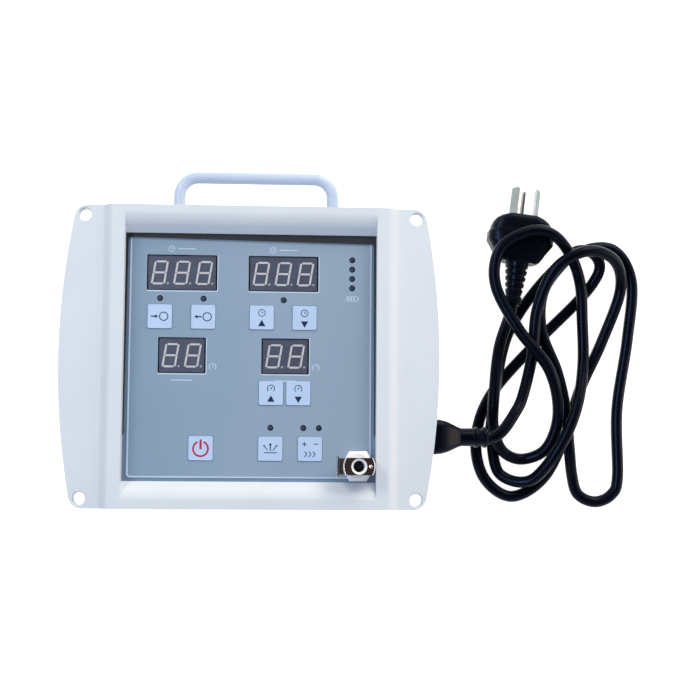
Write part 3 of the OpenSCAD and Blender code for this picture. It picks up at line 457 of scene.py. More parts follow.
# Handle: steel rod under pale blue powder coat, smooth with a light orange peel.
HANDLE_COAT = Finish(
    "powder_coated_rod", "C1CFE8", "B8C7E2", 0.32, 1.5, 30, 1.1, 0.02, specular=0.3
)
# Screws: bright zinc plate, grey with a soft glint.
ZINC_SCREW = Finish("bright_zinc_screw", "B7BABF", "A8ABB0", 0.28, None, 3, 0.3, 0.003, metallic=1)
# Feet: moulded rubber, dull with a soft bloom.
FOOT_RUBBER = Finish("moulded_rubber_foot", "35383C", "2D3034", 0.75, 1.52, 8, 0.3, 0.02)
# Lead: extruded PVC, near black with a satin skin that mirrors faintly blue; its ends are
# moulded, a little duller.
JACKET_PVC = Finish(
    "extruded_pvc_jacket", "03060F", "060A14", 0.3, 1.5, 25, 2.5, 0.004, 0.03,
    specular=0.12, mirrored="A9BEEA",
)  # fmt: skip
PLUG_PVC = Finish(
    "moulded_pvc_plug", "04070F", "070B15", 0.32, 1.5, 12, 1.2, 0.006, 0.03,
    specular=0.14, mirrored="A9BEEA",
)  # fmt: skip
# Pins: brass under dull nickel, a darker grey than bright nickel, so that they read grey against
# the white.
PIN_NICKEL = Brushed(
    "nickel_plated_pin", "8E9697", "7C8587", 0.42, None, 8, 0.4, 0.002, 0.04, metallic=1, along=1
)
# Inlet: moulded nylon, black and matt.
INLET_NYLON = Finish("moulded_nylon_inlet", "15161A", "1B1C21", 0.5, 1.53, 10, 0.4, 0.015)
# Inside: kept from the plan, each with its own stock material, which shows only with the
# case open: lacquered boards, wound coils, bare metals and plain plastics.
BOARD_TOP = Circuit(
    "display_board_epoxy", "1F6B45", "2A7D52", 0.35, parts_colour="D9D4C6", top_mm=73.51
)
BOARD_MAIN = Circuit("main_board_epoxy", "1F6B45", "2A7D52", 0.35)
BOARD_SUPPLY = Circuit("supply_board_epoxy", "4F5A2A", "5E6A35", 0.4, parts_colour="2E3138")
SWITCH_PLASTIC = Finish("switch_nylon", "1A1B1E", "232428", 0.45, 1.53, 5, 0.4, 0.01)
TAPE_YELLOW = Striped(
    "transformer_tape", "D9A441", "C48F33", 0.4, grain_height_mm=0.05, across=2, stripe_mm=2
)
SENSOR_WHITE = Finish("sensor_polyester", "E8E6DF", "DDDAD2", 0.4, 1.5, 6, 0.4, 0.01)
CELL_WRAP = Finish("cell_shrink_wrap", "2E55A8", "27499A", 0.3, 1.5, 20, 1.5, 0.03, coat=0.3)
BRACKET_STEEL = Brushed(
    "folded_zinc_steel", "B4B9BF", "A6ACB3", 0.35, None, 20, metallic=1, along=1
)
MOTOR_STEEL = Brushed("drawn_motor_can", "B9BCC0", "A8ABB0", 0.25, None, 20, metallic=1)
POPPET_ACETAL = Finish("moulded_acetal_poppet", "0E0F12", "15161A", 0.5, 1.48, 4, 0.3, 0.004)
PUMP_NYLON = Finish("glass_filled_nylon", "33363B", "3B3E44", 0.5, 1.53, 12, 0.6, 0.03)
BRASS = Brushed("turned_brass", "C9A25A", "B98F49", 0.25, None, 10, metallic=1, along=2)
MANIFOLD_ALLOY = Brushed(
    "milled_aluminium", "B9BDC2", "ABB0B6", 0.32, None, 15, metallic=1, along=1
)
# A coil's 0.3 mm wire is drawn twice as thick, to show.
COIL_WIRE = Striped(
    "enamelled_winding", "B8722C", "8F531D", 0.3, grain_height_mm=0.08, across=2, stripe_mm=0.6
)
TUBE_SILICONE = Finish("extruded_silicone", "E4E1D6", "DAD6CA", 0.35, 1.42, 20, 0.8, 0.01)
RIBBON_PVC = Striped("ribbon_cable_pvc", "B9BCC2", "8F939B", 0.4, grain_height_mm=0.15)


# Bench tools


def clear() -> None:
    """Leave edit mode and select nothing."""
    active = bpy.context.object
    if active and active.mode != "OBJECT":
        bpy.ops.object.mode_set(mode="OBJECT")
    bpy.ops.object.select_all(action="DESELECT")


def take(*pieces: Piece) -> Piece:
    """Select only these pieces, with the last one active.

    Args:
        *pieces: The pieces.

    Returns:
        The last piece.
    """
    clear()
    for piece in pieces:
        piece.select_set(True)
    bpy.context.view_layer.objects.active = pieces[-1]
    return pieces[-1]


def put(piece: Piece, at: Point = (0, 0, 0), turn: Point = (0, 0, 0), size: float = 1.0) -> Piece:
    """Turn, size and move a piece, all in its own mesh.

    Args:
        piece: The piece, at the origin.
        at: Where its origin goes, in millimetres.
        turn: Its turns about X, Y and Z in radians.
        size: Its scale.

    Returns:
        The same piece.
    """
    piece.rotation_euler, piece.location = turn, at
    piece.scale = (size, size, size)
    take(piece)
    bpy.ops.object.transform_apply(location=True, rotation=True, scale=True)
    return piece


def named(name: str) -> Piece:
    """Name the piece that was just added, and put its place in its mesh.

    Args:
        name: Its name.

    Returns:
        The piece.
    """
    piece = bpy.context.object
    piece.name = piece.data.name = name
    take(piece)
    bpy.ops.object.transform_apply(location=True, rotation=True, scale=True)
    return piece


@contextmanager
def shaping(piece: Piece) -> Iterator[None]:
    """Hold one piece in edit mode with nothing of it selected.

    Args:
        piece: The piece.

    Yields:
        Nothing, while the piece is held.
    """
    take(piece)
    bpy.ops.object.mode_set(mode="EDIT")
    bpy.ops.mesh.select_all(action="DESELECT")
    yield
    bpy.ops.object.mode_set(mode="OBJECT")


def everything() -> None:
    """Select all of the piece in edit mode."""
    bpy.ops.mesh.select_all(action="SELECT")


def shift(x: float = 0.0, y: float = 0.0, z: float = 0.0) -> None:
    """Move what is selected in edit mode."""
    bpy.ops.transform.translate(value=(x, y, z))


def pull(x: float = 0.0, y: float = 0.0, z: float = 0.0) -> None:
    """Extrude what is selected in edit mode."""
    bpy.ops.mesh.extrude_region_move(TRANSFORM_OT_translate={"value": (x, y, z)})


def scale(x: float, y: float, at: Point = (0, 0, 0)) -> None:
    """Widen or narrow what is selected in edit mode, in X and Y about a point."""
    bpy.ops.transform.resize(value=(x, y, 1), center_override=at)


def pick(piece: Piece, what: Part, test: Callable[[Corner | Edge | Face], bool]) -> None:
    """Select in edit mode by place or normal.

    Args:
        piece: The piece in edit mode.
        what: Corners, edges or faces.
        test: Says of each one whether it is taken.
    """
    bpy.ops.mesh.select_mode(type=what.value)
    bpy.ops.mesh.select_all(action="DESELECT")
    mesh = bmesh.from_edit_mesh(piece.data)
    items = {Part.CORNERS: mesh.verts, Part.EDGES: mesh.edges, Part.FACES: mesh.faces}[what]
    for item in items:
        if test(item):
            item.select_set(True)
    mesh.select_flush_mode()
    bmesh.update_edit_mesh(piece.data)


def upright(edge: Edge) -> bool:
    """Say whether an edge runs along Z."""
    run = edge.verts[1].co - edge.verts[0].co
    return abs(run.z) > 0.99 * run.length


def upper(face: Face) -> bool:
    """Say whether a face looks up."""
    return face.normal.z > 0.9


def outwards(piece: Piece) -> Piece:
    """Merge doubles and turn all faces outwards.

    Args:
        piece: The piece.

    Returns:
        The same piece.
    """
    with shaping(piece):
        everything()
        bpy.ops.mesh.remove_doubles(threshold=0.0005)
        bpy.ops.mesh.normals_make_consistent(inside=False)
    return piece


def block(name: str, low: Point, high: Point, corner: float = 0.0, steps: int = 6) -> Piece:
    """Add a box between two corners, with its upright edges rounded.

    Args:
        name: The piece's name.
        low: Its lowest corner.
        high: Its highest corner.
        corner: Radius of the four upright edges, or 0 for none.
        steps: Segments of each rounded edge.

    Returns:
        The piece.
    """
    clear()
    bpy.ops.mesh.primitive_cube_add(
        size=1,
        location=[(a + b) / 2 for a, b in zip(low, high)],
        scale=[b - a for a, b in zip(low, high)],
    )
    piece = named(name)
    if corner:
        with shaping(piece):
            pick(piece, Part.EDGES, upright)
            bpy.ops.mesh.bevel(offset=corner, segments=steps, affect="EDGES")
    return piece


def bearing(run: Vector) -> float:
    """Give a direction on the panel in radians from +X."""
    return math.atan2(run.y, run.x)


def disc(name: str, sides: int, radius: float, at: Point, turn: Point = (0, 0, 0)) -> Piece:
    """Add a flat filled circle or polygon.

    Args:
        name: The piece's name.
        sides: How many corners it has.
        radius: From its middle to a corner.
        at: Its middle.
        turn: Its turns about X, Y and Z in radians.

    Returns:
        The piece, one face.
    """
    clear()
    bpy.ops.mesh.primitive_circle_add(
        vertices=sides, radius=radius, fill_type="NGON", location=at, rotation=turn
    )
    return named(name)


def turned(
    name: str,
    profile: Sequence[Spot],
    at: Point = (0, 0, 0),
    facing: Facing = Facing.UP,
    sides: int = 48,
) -> Piece:
    """Turn a solid on the lathe, ring by ring.

    Args:
        name: The piece's name.
        profile: Radius and height of each ring, from one closed end to the other.
        at: Where the lathe's origin goes.
        facing: Where the lathe's axis points.
        sides: Facets round the axis.

    Returns:
        The piece, closed at both ends.
    """
    radius, height = profile[0]
    piece = disc(name, sides, radius, (0, 0, height))
    with shaping(piece):
        everything()
        for next_radius, next_height in profile[1:]:
            pull(z=next_height - height)
            scale(next_radius / radius, next_radius / radius)
            radius, height = next_radius, next_height
    return outwards(put(piece, at, facing.value))


def lofted(name: str, stations: Sequence[Point], corner: float, steps: int = 5) -> Piece:
    """Draw a solid along +Z through rectangular sections with rounded corners.

    Args:
        name: The piece's name.
        stations: Height, half width in X and half width in Y of each section.
        corner: Corner radius of the first section.
        steps: Segments of each corner.

    Returns:
        The piece, closed at both ends.
    """
    clear()
    height, half_x, half_y = stations[0]
    bpy.ops.mesh.primitive_plane_add(size=2, location=(0, 0, height))
    bpy.context.object.scale = (half_x, half_y, 1)
    piece = named(name)
    with shaping(piece):
        everything()
        bpy.ops.mesh.bevel(offset=corner, segments=steps, affect="VERTICES")
        everything()
        for next_height, next_x, next_y in stations[1:]:
            pull(z=next_height - height)
            scale(next_x / half_x, next_y / half_y)
            height, half_x, half_y = next_height, next_x, next_y
    return outwards(piece)


def drawn(name: str, outline: Sequence[Spot], start: float, end: float) -> Piece:
    """Draw an outline along X.

    Args:
        name: The piece's name.
        outline: Y and Z of each corner, in order round the section.
        start: Where the section starts in X.
        end: Where it ends.

    Returns:
        The piece, closed at both ends.
    """
    piece = disc(name, len(outline), 1, (0, 0, 0))
    for corner, (y, z) in zip(piece.data.vertices, outline):
        corner.co = (start, y, z)
    with shaping(piece):
        everything()
        pull(x=end - start)
    return outwards(piece)


def carve(piece: Piece, tool: Piece, how: Cut = Cut.AWAY) -> Piece:
    """Cut, add or keep with another mesh, which is used up.

    Args:
        piece: The piece.
        tool: The other mesh. Its material goes with its faces.
        how: What the tool does.

    Returns:
        The same piece.
    """
    change = piece.modifiers.new("carve", "BOOLEAN")
    change.object, change.operation, change.solver = tool, how.value, "EXACT"
    change.material_mode = "TRANSFER"
    take(piece)
    bpy.ops.object.modifier_apply(modifier=change.name)
    bpy.data.objects.remove(tool)
    return piece


def soften(piece: Piece, width: float, steps: int = 3, angle: float = 30.0) -> Piece:
    """Round a piece's sharp edges.

    Args:
        piece: The piece.
        width: How wide the rounded edges are.
        steps: Segments of each rounded edge.
        angle: Edges that turn by more than this many degrees are rounded.

    Returns:
        The same piece.
    """
    change = piece.modifiers.new("soften", "BEVEL")
    change.width, change.segments = width, steps
    change.limit_method, change.angle_limit = "ANGLE", math.radians(angle)
    take(piece)
    bpy.ops.object.modifier_apply(modifier=change.name)
    return piece


def copied(piece: Piece, name: str, at: Point = (0, 0, 0), turn: Point = (0, 0, 0)) -> Piece:
    """Copy a piece with its own mesh, turned and then moved.

    Args:
        piece: What is copied.
        name: The copy's name.
        at: How far it is moved.
        turn: Its turns about X, Y and Z in radians.

    Returns:
        The copy.
    """
    take(piece)
    bpy.ops.object.duplicate(linked=False)
    made = bpy.context.object
    made.name = made.data.name = name
    return put(made, at, turn)


def joined(name: str, pieces: Sequence[Piece]) -> Piece:
    """Join pieces to one object.

    Args:
        name: The object's name.
        pieces: The pieces. The first material of the first one comes first.

    Returns:
        The object.
    """
    made = take(*pieces)
    if len(pieces) > 1:
        bpy.ops.object.join()
    made.name = made.data.name = name
    return made


def repeated(piece: Piece, name: str, places: Sequence[tuple[Point, Point]]) -> Piece:
    """Copy a piece to every place and join the copies. The piece itself is used up.

    Args:
        piece: What is copied.
        name: The joined copies' name.
        places: How far each copy is moved, and its turns in radians.

    Returns:
        The joined copies.
    """
    copies = [copied(piece, f"{name}_copy", at, turn) for at, turn in places]
    bpy.data.objects.remove(piece)
    return joined(name, copies)


def coated(piece: Piece, finish: Finish) -> Piece:
    """Give a piece one material all over.

    Args:
        piece: The piece.
        finish: What it is made of.

    Returns:
        The same piece.
    """
    piece.data.materials.clear()
    piece.data.materials.append(finish.material())
    return piece


def hand_over(
    piece: Piece,
    body: str,
    nodes: Sequence[str] = (),
    finish: Finish | None = None,
    angle: float = 35.0,
) -> Piece:
    """Bring a finished piece to metres, shade it, and set it on its body.

    Args:
        piece: The piece, in millimetres.
        body: The body that it rides on.
        nodes: Part nodes that it stands for.
        finish: Its finish, if it hasn't got its materials yet.
        angle: Edges flatter than this many degrees are shaded smooth.

    Returns:
        The piece.
    """
    if finish:
        coated(piece, finish)
    put(piece, size=MM)
    bpy.ops.object.shade_smooth_by_angle(angle=math.radians(angle))
    weigh = piece.modifiers.new("weigh", "WEIGHTED_NORMAL")
    weigh.keep_sharp = True
    bpy.ops.object.modifier_apply(modifier=weigh.name)
    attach(piece, body)
    if nodes:
        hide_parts(*nodes)
    log.info("%s: %d faces on %s", piece.name, len(piece.data.polygons), body)
    return piece


def dress(node: str, finish: Finish) -> None:
    """Give a kept part node its finish.

    Args:
        node: The node's name.
        finish: What it is made of.
    """
    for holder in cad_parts[node].material_slots:
        holder.material = finish.material()
    log.info("%s: kept", node)


def smooth_line(knots: Sequence[Point], steps: int) -> list[Vector]:
    """Run a smooth line through knots.

    Args:
        knots: The points that the line goes through.
        steps: Points for each stretch between two knots.

    Returns:
        The line's points.
    """
    p = [Vector(k) for k in knots]
    p = [2 * p[0] - p[1], *p, 2 * p[-1] - p[-2]]
    line = []
    for a, b, c, d in zip(p, p[1:], p[2:], p[3:]):
        square, cube = 2 * a - 5 * b + 4 * c - d, 3 * b - a - 3 * c + d
        for i in range(steps):
            u = i / steps
            line.append(0.5 * (2 * b + (c - a) * u + square * u**2 + cube * u**3))
    return [*line, p[-2]]


def wire(name: str, line: Sequence[Vector], radius: float, sides: int = 6) -> Piece:
    """Draw a round wire along a line of points.

    Args:
        name: The piece's name.
        line: The points.
        radius: The wire's radius.
        sides: Facets round the wire.

    Returns:
        The piece, closed at both ends.
    """
    curve = bpy.data.curves.new(name, "CURVE")
    curve.dimensions = "3D"
    run = curve.splines.new("POLY")
    run.points.add(len(line) - 1)
    for point, place in zip(run.points, line):
        point.co = (*place, 1)
    curve.bevel_depth, curve.bevel_resolution, curve.use_fill_caps = radius, sides // 2 - 1, True
    piece = bpy.data.objects.new(name, curve)
    bpy.context.collection.objects.link(piece)
    take(piece)
    bpy.ops.object.convert(target="MESH")
    return outwards(bpy.context.object)


# Studio


@dataclass
class Studio:
    """Pale floor, soft light from above the handle side, and the camera of the photograph.

    The camera's place, turn and lens, the lamps and the boards are in metres and degrees.
    """

    eye: Point = (0.01591, -0.05028, 0.80619)
    tilt: Point = (-4.641, 2.858, -0.428)
    lens: float = 68.22
    sensor: float = 36.0
    reach: Spot = (0.01, 20.0)
    sky: str = "DBE9FF"
    ambient: float = 0.665
    paper: str = "D8D8D8"
    paper_roughness: float = 0.9
    floor_size: float = 8.0
    floor_drop: float = 0.0002
    floor_glow: float = 0.93
    aim: Point = (0.03, 0.0, 0.05)
    # Name, place, side, power and colour.
    softboxes: Sequence[tuple[str, Point, float, float, str]] = (
        ("key_softbox", (0.68, 1.1, 0.75), 0.85, 14.2, "FFF6DE"),
        ("fill_softbox", (-0.8, 0.8, 0.85), 0.4, 6.0, "FFF6DE"),
        ("side_softbox", (1.3, 0.0, 0.3), 0.4, 3.6, "FFD4AC"),
    )
    # Name, centre, width in X and Y, colour and glow.
    # The card is a painted dark reflection over the object. The strip glows only in reflections, a
    # painted highlight on the lead and the metals.
    boards: Sequence[tuple[str, Point, Spot, str, float]] = (
        ("dark_reflection_card", (0.06, -0.05, 1.3), (2.4, 2.4), "2E2320", 0.0),
        ("highlight_strip", (-0.72, 0.0, 1.25), (0.4, 1.0), "CFDDFF", 18.0),
    )

    def build(self) -> None:
        """Make the camera, the floor, the world, the boards and the lamps."""
        self.camera()
        self.floor()
        self.world()
        for board in self.boards:
            self.board(*board)
        for softbox in self.softboxes:
            self.lamp(*softbox)
        log.info("studio: %d lamps, %d boards", len(self.softboxes), len(self.boards))

    def camera(self) -> None:
        """Stand the camera where the photograph was taken."""
        about_x, about_y, about_z = (
            Matrix.Rotation(math.radians(a), 3, axis) for a, axis in zip(self.tilt, "XYZ")
        )
        made = bpy.data.objects.new("camera", bpy.data.cameras.new("camera"))
        made.data.sensor_width, made.data.lens = self.sensor, self.lens
        made.data.clip_start, made.data.clip_end = self.reach
        turn = (about_x @ about_y @ about_z).transposed()
        made.matrix_world = Matrix.Translation(self.eye) @ turn.to_4x4()
        bpy.context.collection.objects.link(made)
        bpy.context.scene.camera = made

    def sheet(self, name: str, size: float, at: Point, colour: str) -> tuple[Piece, Tree]:
        """Lay a level square of matt card.

        Args:
            name: Its name.
            size: Its side.
            at: Its centre.
            colour: Its colour as an sRGB hex code.

        Returns:
            The sheet and its material's node tree.
        """
        clear()
        bpy.ops.mesh.primitive_plane_add(size=size, location=at)
        made = bpy.context.object
        made.name = made.data.name = name
        card = bpy.data.materials.new(name)
        card.use_nodes = True
        shader = card.node_tree.nodes["Principled BSDF"]
        shader.inputs["Base Color"].default_value = linear(colour)
        shader.inputs["Roughness"].default_value = self.paper_roughness
        made.data.materials.append(card)
        return made, card.node_tree

    def floor(self) -> None:
        """Lay a white floor that keeps the object's shadow."""
        at = (0, 0, -self.floor_drop)
        made, tree = self.sheet("studio_floor", self.floor_size, at, self.paper)
        shader = tree.nodes["Principled BSDF"]
        shader.inputs["Specular IOR Level"].default_value = 0.0
        shine = {0: self.seen(tree), 1: self.floor_glow}
        strength = add_node(tree, "ShaderNodeMath", shine, operation="MULTIPLY").outputs[0]
        glow = add_node(tree, "ShaderNodeEmission", {"Color": (1, 1, 1, 1), "Strength": strength})
        both = add_node(tree, "ShaderNodeAddShader", {0: shader.outputs[0], 1: glow.outputs[0]})
        tree.links.new(both.outputs[0], tree.nodes["Material Output"].inputs["Surface"])

    def board(self, name: str, at: Point, size: Spot, colour: str, glow: float) -> None:
        """Hang a level board that only glossy parts mirror and nothing else meets: the card gives a
        painted dark reflection, and the glowing strip a painted highlight.

        Args:
            name: The board's name.
            at: Its centre.
            size: Its width in X and Y.
            colour: Its colour as an sRGB hex code.
            glow: How strongly it shines.
        """
        made, tree = self.sheet(name, 1, at, colour)
        made.scale = (*size, 1)
        shader = tree.nodes["Principled BSDF"]
        shader.inputs["Emission Color"].default_value = linear(colour)
        shader.inputs["Emission Strength"].default_value = glow
        made.visible_camera = made.visible_diffuse = made.visible_shadow = False
        made.visible_transmission = made.visible_volume_scatter = False

    def seen(self, tree: Tree) -> Socket:
        """Tell the rays that show a surface from those that light the object.

        Args:
            tree: The material's or world's node tree.

        Returns:
            1 for camera, glossy and transmission rays, and 0 for others.
        """
        path = add_node(tree, "ShaderNodeLightPath").outputs
        shown = path["Is Camera Ray"]
        for other in ("Is Glossy Ray", "Is Transmission Ray"):
            pair = {0: shown, 1: path[other]}
            shown = add_node(tree, "ShaderNodeMath", pair, operation="MAXIMUM").outputs[0]
        return shown

    def world(self) -> None:
        """Surround the object with even light that shows as white."""
        world = bpy.context.scene.world or bpy.data.worlds.new("studio")
        bpy.context.scene.world = world
        world.use_nodes = True
        tree = world.node_tree
        tree.nodes.clear()
        even = {"Color": linear(self.sky), "Strength": self.ambient}
        lit = add_node(tree, "ShaderNodeBackground", even).outputs[0]
        plain = {"Color": (1, 1, 1, 1), "Strength": 1.0}
        shown = add_node(tree, "ShaderNodeBackground", plain).outputs[0]
        both = add_node(tree, "ShaderNodeMixShader", {0: self.seen(tree), 1: lit, 2: shown})
        add_node(tree, "ShaderNodeOutputWorld", {"Surface": both.outputs[0]})

    def lamp(self, name: str, at: Point, size: float, power: float, colour: str) -> None:
        """Hang a square softbox that looks at the object.

        Args:
            name: The softbox's name.
            at: Its place.
            size: Its side.
            power: Its power in watts.
            colour: Its light's colour as an sRGB hex code.
        """
        light = bpy.data.lights.new(name, "AREA")
        light.shape, light.size, light.energy = "SQUARE", size, power
        light.color = linear(colour)[:3]
        made = bpy.data.objects.new(name, light)
        made.location = at
        aim = Vector(self.aim) - Vector(at)
        made.rotation_euler = aim.to_track_quat("-Z", "Y").to_euler()
        bpy.context.collection.objects.link(made)


# Mains lead


@dataclass
class MainsLead:
    """Inlet connector, lead and three-pin plug, with the lead's own route."""

    diameter: float = 7.0
    length: float = 1558.0
    exit: Point = (143.0, -43.0, 30.0)
    tail: Point = (160.0, 40.0, 11.0)
    plug_turn: float = math.radians(-7)
    exit_lean: float = 2.4
    plug_lean: float = 8.0
    neck_length: float = 21.0
    sleeve_length: float = 28.0
    plug_face: float = 55.0
    pin_section: Spot = (6.4, 1.6)
    pin_length: float = 17.0
    pin_root: float = 44.0
    # Across and up on the plug's face, and degrees from upright.
    pin_places: Sequence[Point] = ((-6.85, 4.6, 30), (6.85, 4.6, -30), (0.0, -5.7, 0))
    route: Sequence[Point] = (
        (143, -43, 30), (150, -39.5, 30), (158, -29, 27), (164, -18, 23), (171, 8, 18.5),
        (174, 36, 19.5), (184, 60, 25.5), (203, 71, 27.5), (222, 67, 19), (229, 50, 7),
        (218, 18, 3.5), (204, -12, 3.5), (194, -42, 3.5), (180, -68, 3.5), (160, -79, 3.5),
        (143, -67, 3.5), (138.5, -43, 3.5), (148, -16, 3.5), (176, 16, 3.5), (202, 42, 3.5),
        (213, 56, 6.5), (215.5, 65, 9), (211, 72, 11), (203, 74, 11), (195.5, 69.5, 11),
        (180, 49, 11), (178, 24, 11.5), (188, -2, 10), (193, -26, 11), (195, -48, 11),
        (198, -66, 5), (202, -77.5, 3.5), (212.5, -82, 3.5), (223, -77.5, 3.5), (227, -66, 3.5),
        (227, -25, 3.5), (234, 19, 3.5), (237, 56, 3.5), (225, 76, 3.5), (202, 73, 3.5),
        (180, 54, 3.5), (159, 23, 3.5), (149, -13, 11.5), (147.5, -30, 9.5), (148, -44, 3.7),
        (153, -65, 3.5), (171, -69, 10), (187, -49, 19), (198, -25, 18.5), (204, 2, 10.8),
        (204, 30, 10), (202, 52, 14), (195, 69, 19.5), (183, 81, 25.5), (168, 83, 27),
        (150, 72, 27), (147, 50, 26), (161, 23, 26), (180, -2, 25.5), (187, -28, 17),
        (181, -49, 11), (167, -56, 5), (154, -51, 9), (147.5, -37, 15), (147, -18, 20),
        (151, 12, 15), (160, 40, 11),
    )  # fmt: skip
    # Height, half width and half depth at each section.
    connector_stations: Sequence[Point] = (
        (91.4, 13.1, 10.0), (92.2, 13.5, 10.4), (109, 13.5, 10.4), (112.5, 12.8, 10.0),
        (116, 11.5, 9.1), (120.5, 8.2, 7.1), (122.8, 6.4, 6.0), (124.5, 5.5, 5.5),
    )  # fmt: skip
    plug_stations: Sequence[Point] = (
        (25.5, 10.5, 7.8), (26.5, 12.8, 8.3), (29, 14.5, 9.2), (32, 16.2, 9.9), (35, 18.2, 10.6),
        (38, 20.3, 10.9), (43, 20.3, 10.9), (44.5, 19.3, 10.4), (47, 18.9, 10.4), (50, 17.8, 10.4),
        (52, 16.2, 10.4), (53.8, 13.6, 9.9), (55, 10.5, 9.4),
    )  # fmt: skip

    def build(self) -> None:
        """Make the lead first, then what is on its ends."""
        cord = self.cord()
        ends = [self.connector(), self.plug(), self.pins()]

    def cord(self) -> Piece:
        """Lay the lead as one smooth curve through its route, never below the floor.

        Returns:
            The lead.
        """
        knots = [Vector(k) for k in self.route]
        ends = [2 * knots[0] - knots[1], *knots, 2 * knots[-1] - knots[-2]]
        curve = bpy.data.curves.new("mains_cord", "CURVE")
        curve.dimensions = "3D"
        run = curve.splines.new("BEZIER")
        run.bezier_points.add(len(knots) - 1)
        low = self.diameter / 2
        for point, before, at, after in zip(run.bezier_points, ends, knots, ends[2:]):
            lean = (after - before) / 6
            near, far = at - lean, at + lean
            near.z, far.z = max(near.z, low), max(far.z, low)
            point.handle_left_type = point.handle_right_type = "FREE"
            point.co, point.handle_left, point.handle_right = at * MM, near * MM, far * MM
        first, last = run.bezier_points[0], run.bezier_points[-1]
        first.handle_right = first.co + Vector((self.exit_lean, 0, 0)) * MM
        lead_in = Vector((-math.sin(self.plug_turn), math.cos(self.plug_turn), 0))
        last.handle_left = last.co - lead_in * self.plug_lean * MM
        curve.bevel_depth, curve.bevel_resolution = low * MM, 6
        curve.resolution_u, curve.use_fill_caps = 12, True
        curve.materials.append(JACKET_PVC.material())
        run.use_smooth = True
        made = bpy.data.objects.new("mains_cord", curve)
        bpy.context.collection.objects.link(made)
        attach(made, "unit")
        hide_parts("power_cord")
        log.info("mains_cord: %d knots", len(knots))
        return made

    def sleeve(self, start: float, end: float, rim: float, grooves: Sequence[float]) -> Piece:
        """Turn a ribbed strain relief along +Z.

        Args:
            start: Radius at 0.
            end: Radius at its tip.
            rim: Length of the thicker rim at the tip.
            grooves: Heights of the grooves' middles.

        Returns:
            The piece.
        """
        length = self.sleeve_length
        rings: list[Spot] = [(start, 0.0)]
        for z in grooves:
            r = start + (end - start) * z / length
            rings += [(r, z - 0.9), (r - 0.9, z - 0.6), (r - 0.9, z + 0.6), (r, z + 0.9)]
        rings += [(end, length - rim), (end + 0.8, length - rim + 0.3), (end + 0.8, length - 0.5)]
        rings += [(end + 0.2, length)]
        return soften(turned("sleeve", rings, sides=40), 0.2, 2, 25)

    def connector(self) -> Piece:
        """Mould the inlet connector: a body, a smooth neck with two rings, and a nose.

        Returns:
            The connector.
        """
        x, y, z = self.exit
        body = lofted("inlet_connector", self.connector_stations, 4.0)
        put(body, (0, y, z), Facing.RIGHT.value)
        soften(body, 0.6, 3, 20)
        rings: list[Spot] = [(5.4, 0.0)]
        for ring in (11.0, 16.0):
            rings += [(5.4, ring), (6.2, ring + 0.6), (6.2, ring + 2.3), (4.9, ring + 3.0)]
        rings.append((4.6, self.neck_length))
        neck = soften(turned("neck", rings, sides=48), 0.3, 2, 25)
        put(neck, (x - self.neck_length, y, z), Facing.RIGHT.value)
        nose = soften(block("nose", (73, y - 8, z - 12), (91.6, y + 8, z + 12)), 1.2)
        made = joined("inlet_connector", [neck, nose, body])
        return hand_over(made, "unit", ["power_connector"], PLUG_PVC)

    def at_plug(self, piece: Piece) -> Piece:
        """Carry a piece drawn along +Z, with its top towards +Y, to the plug's place."""
        put(piece, (0, 0, 0), (-math.pi / 2, 0, 0))
        return put(piece, self.tail, (0, 0, self.plug_turn))

    def plug(self) -> Piece:
        """Mould the plug: a waisted head with a finger flange, and the ribbed sleeve.

        Returns:
            The plug.
        """
        head = soften(lofted("mains_plug", self.plug_stations, 5.0, 6), 0.3, 2, 24)
        tail = self.sleeve(7.6, 4.6, 4.5, (6.5, 10.5, 14.5, 18.5))
        put(tail, (0, 0, self.sleeve_length), Facing.DOWN.value)
        made = self.at_plug(joined("mains_plug", [tail, head]))
        return hand_over(made, "unit", ["plug_body"], PLUG_PVC)

    def pins(self) -> Piece:
        """Make the three flat pins with chamfered tips, two turned and the earth pin upright.

        Returns:
            The pins.
        """
        wide, thick = self.pin_section
        end = self.plug_face + self.pin_length
        blade = block("blade", (-wide / 2, -thick / 2, self.pin_root), (wide / 2, thick / 2, end))
        with shaping(blade):
            pick(blade, Part.FACES, upper)
            pull()
            scale(0.82, 0.45, (0, 0, end))
            pick(blade, Part.CORNERS, lambda v: v.co.z > end - 0.1 and abs(v.co.x) > wide * 0.45)
            shift(z=-1.2)
        soften(blade, 0.15, 2)
        places = [((x, -up, 0), (0, 0, math.radians(turn + 90))) for x, up, turn in self.pin_places]
        made = self.at_plug(repeated(blade, "plug_blades", places))
        return hand_over(made, "unit", ["plug_pins"], PIN_NICKEL)


# Inlet


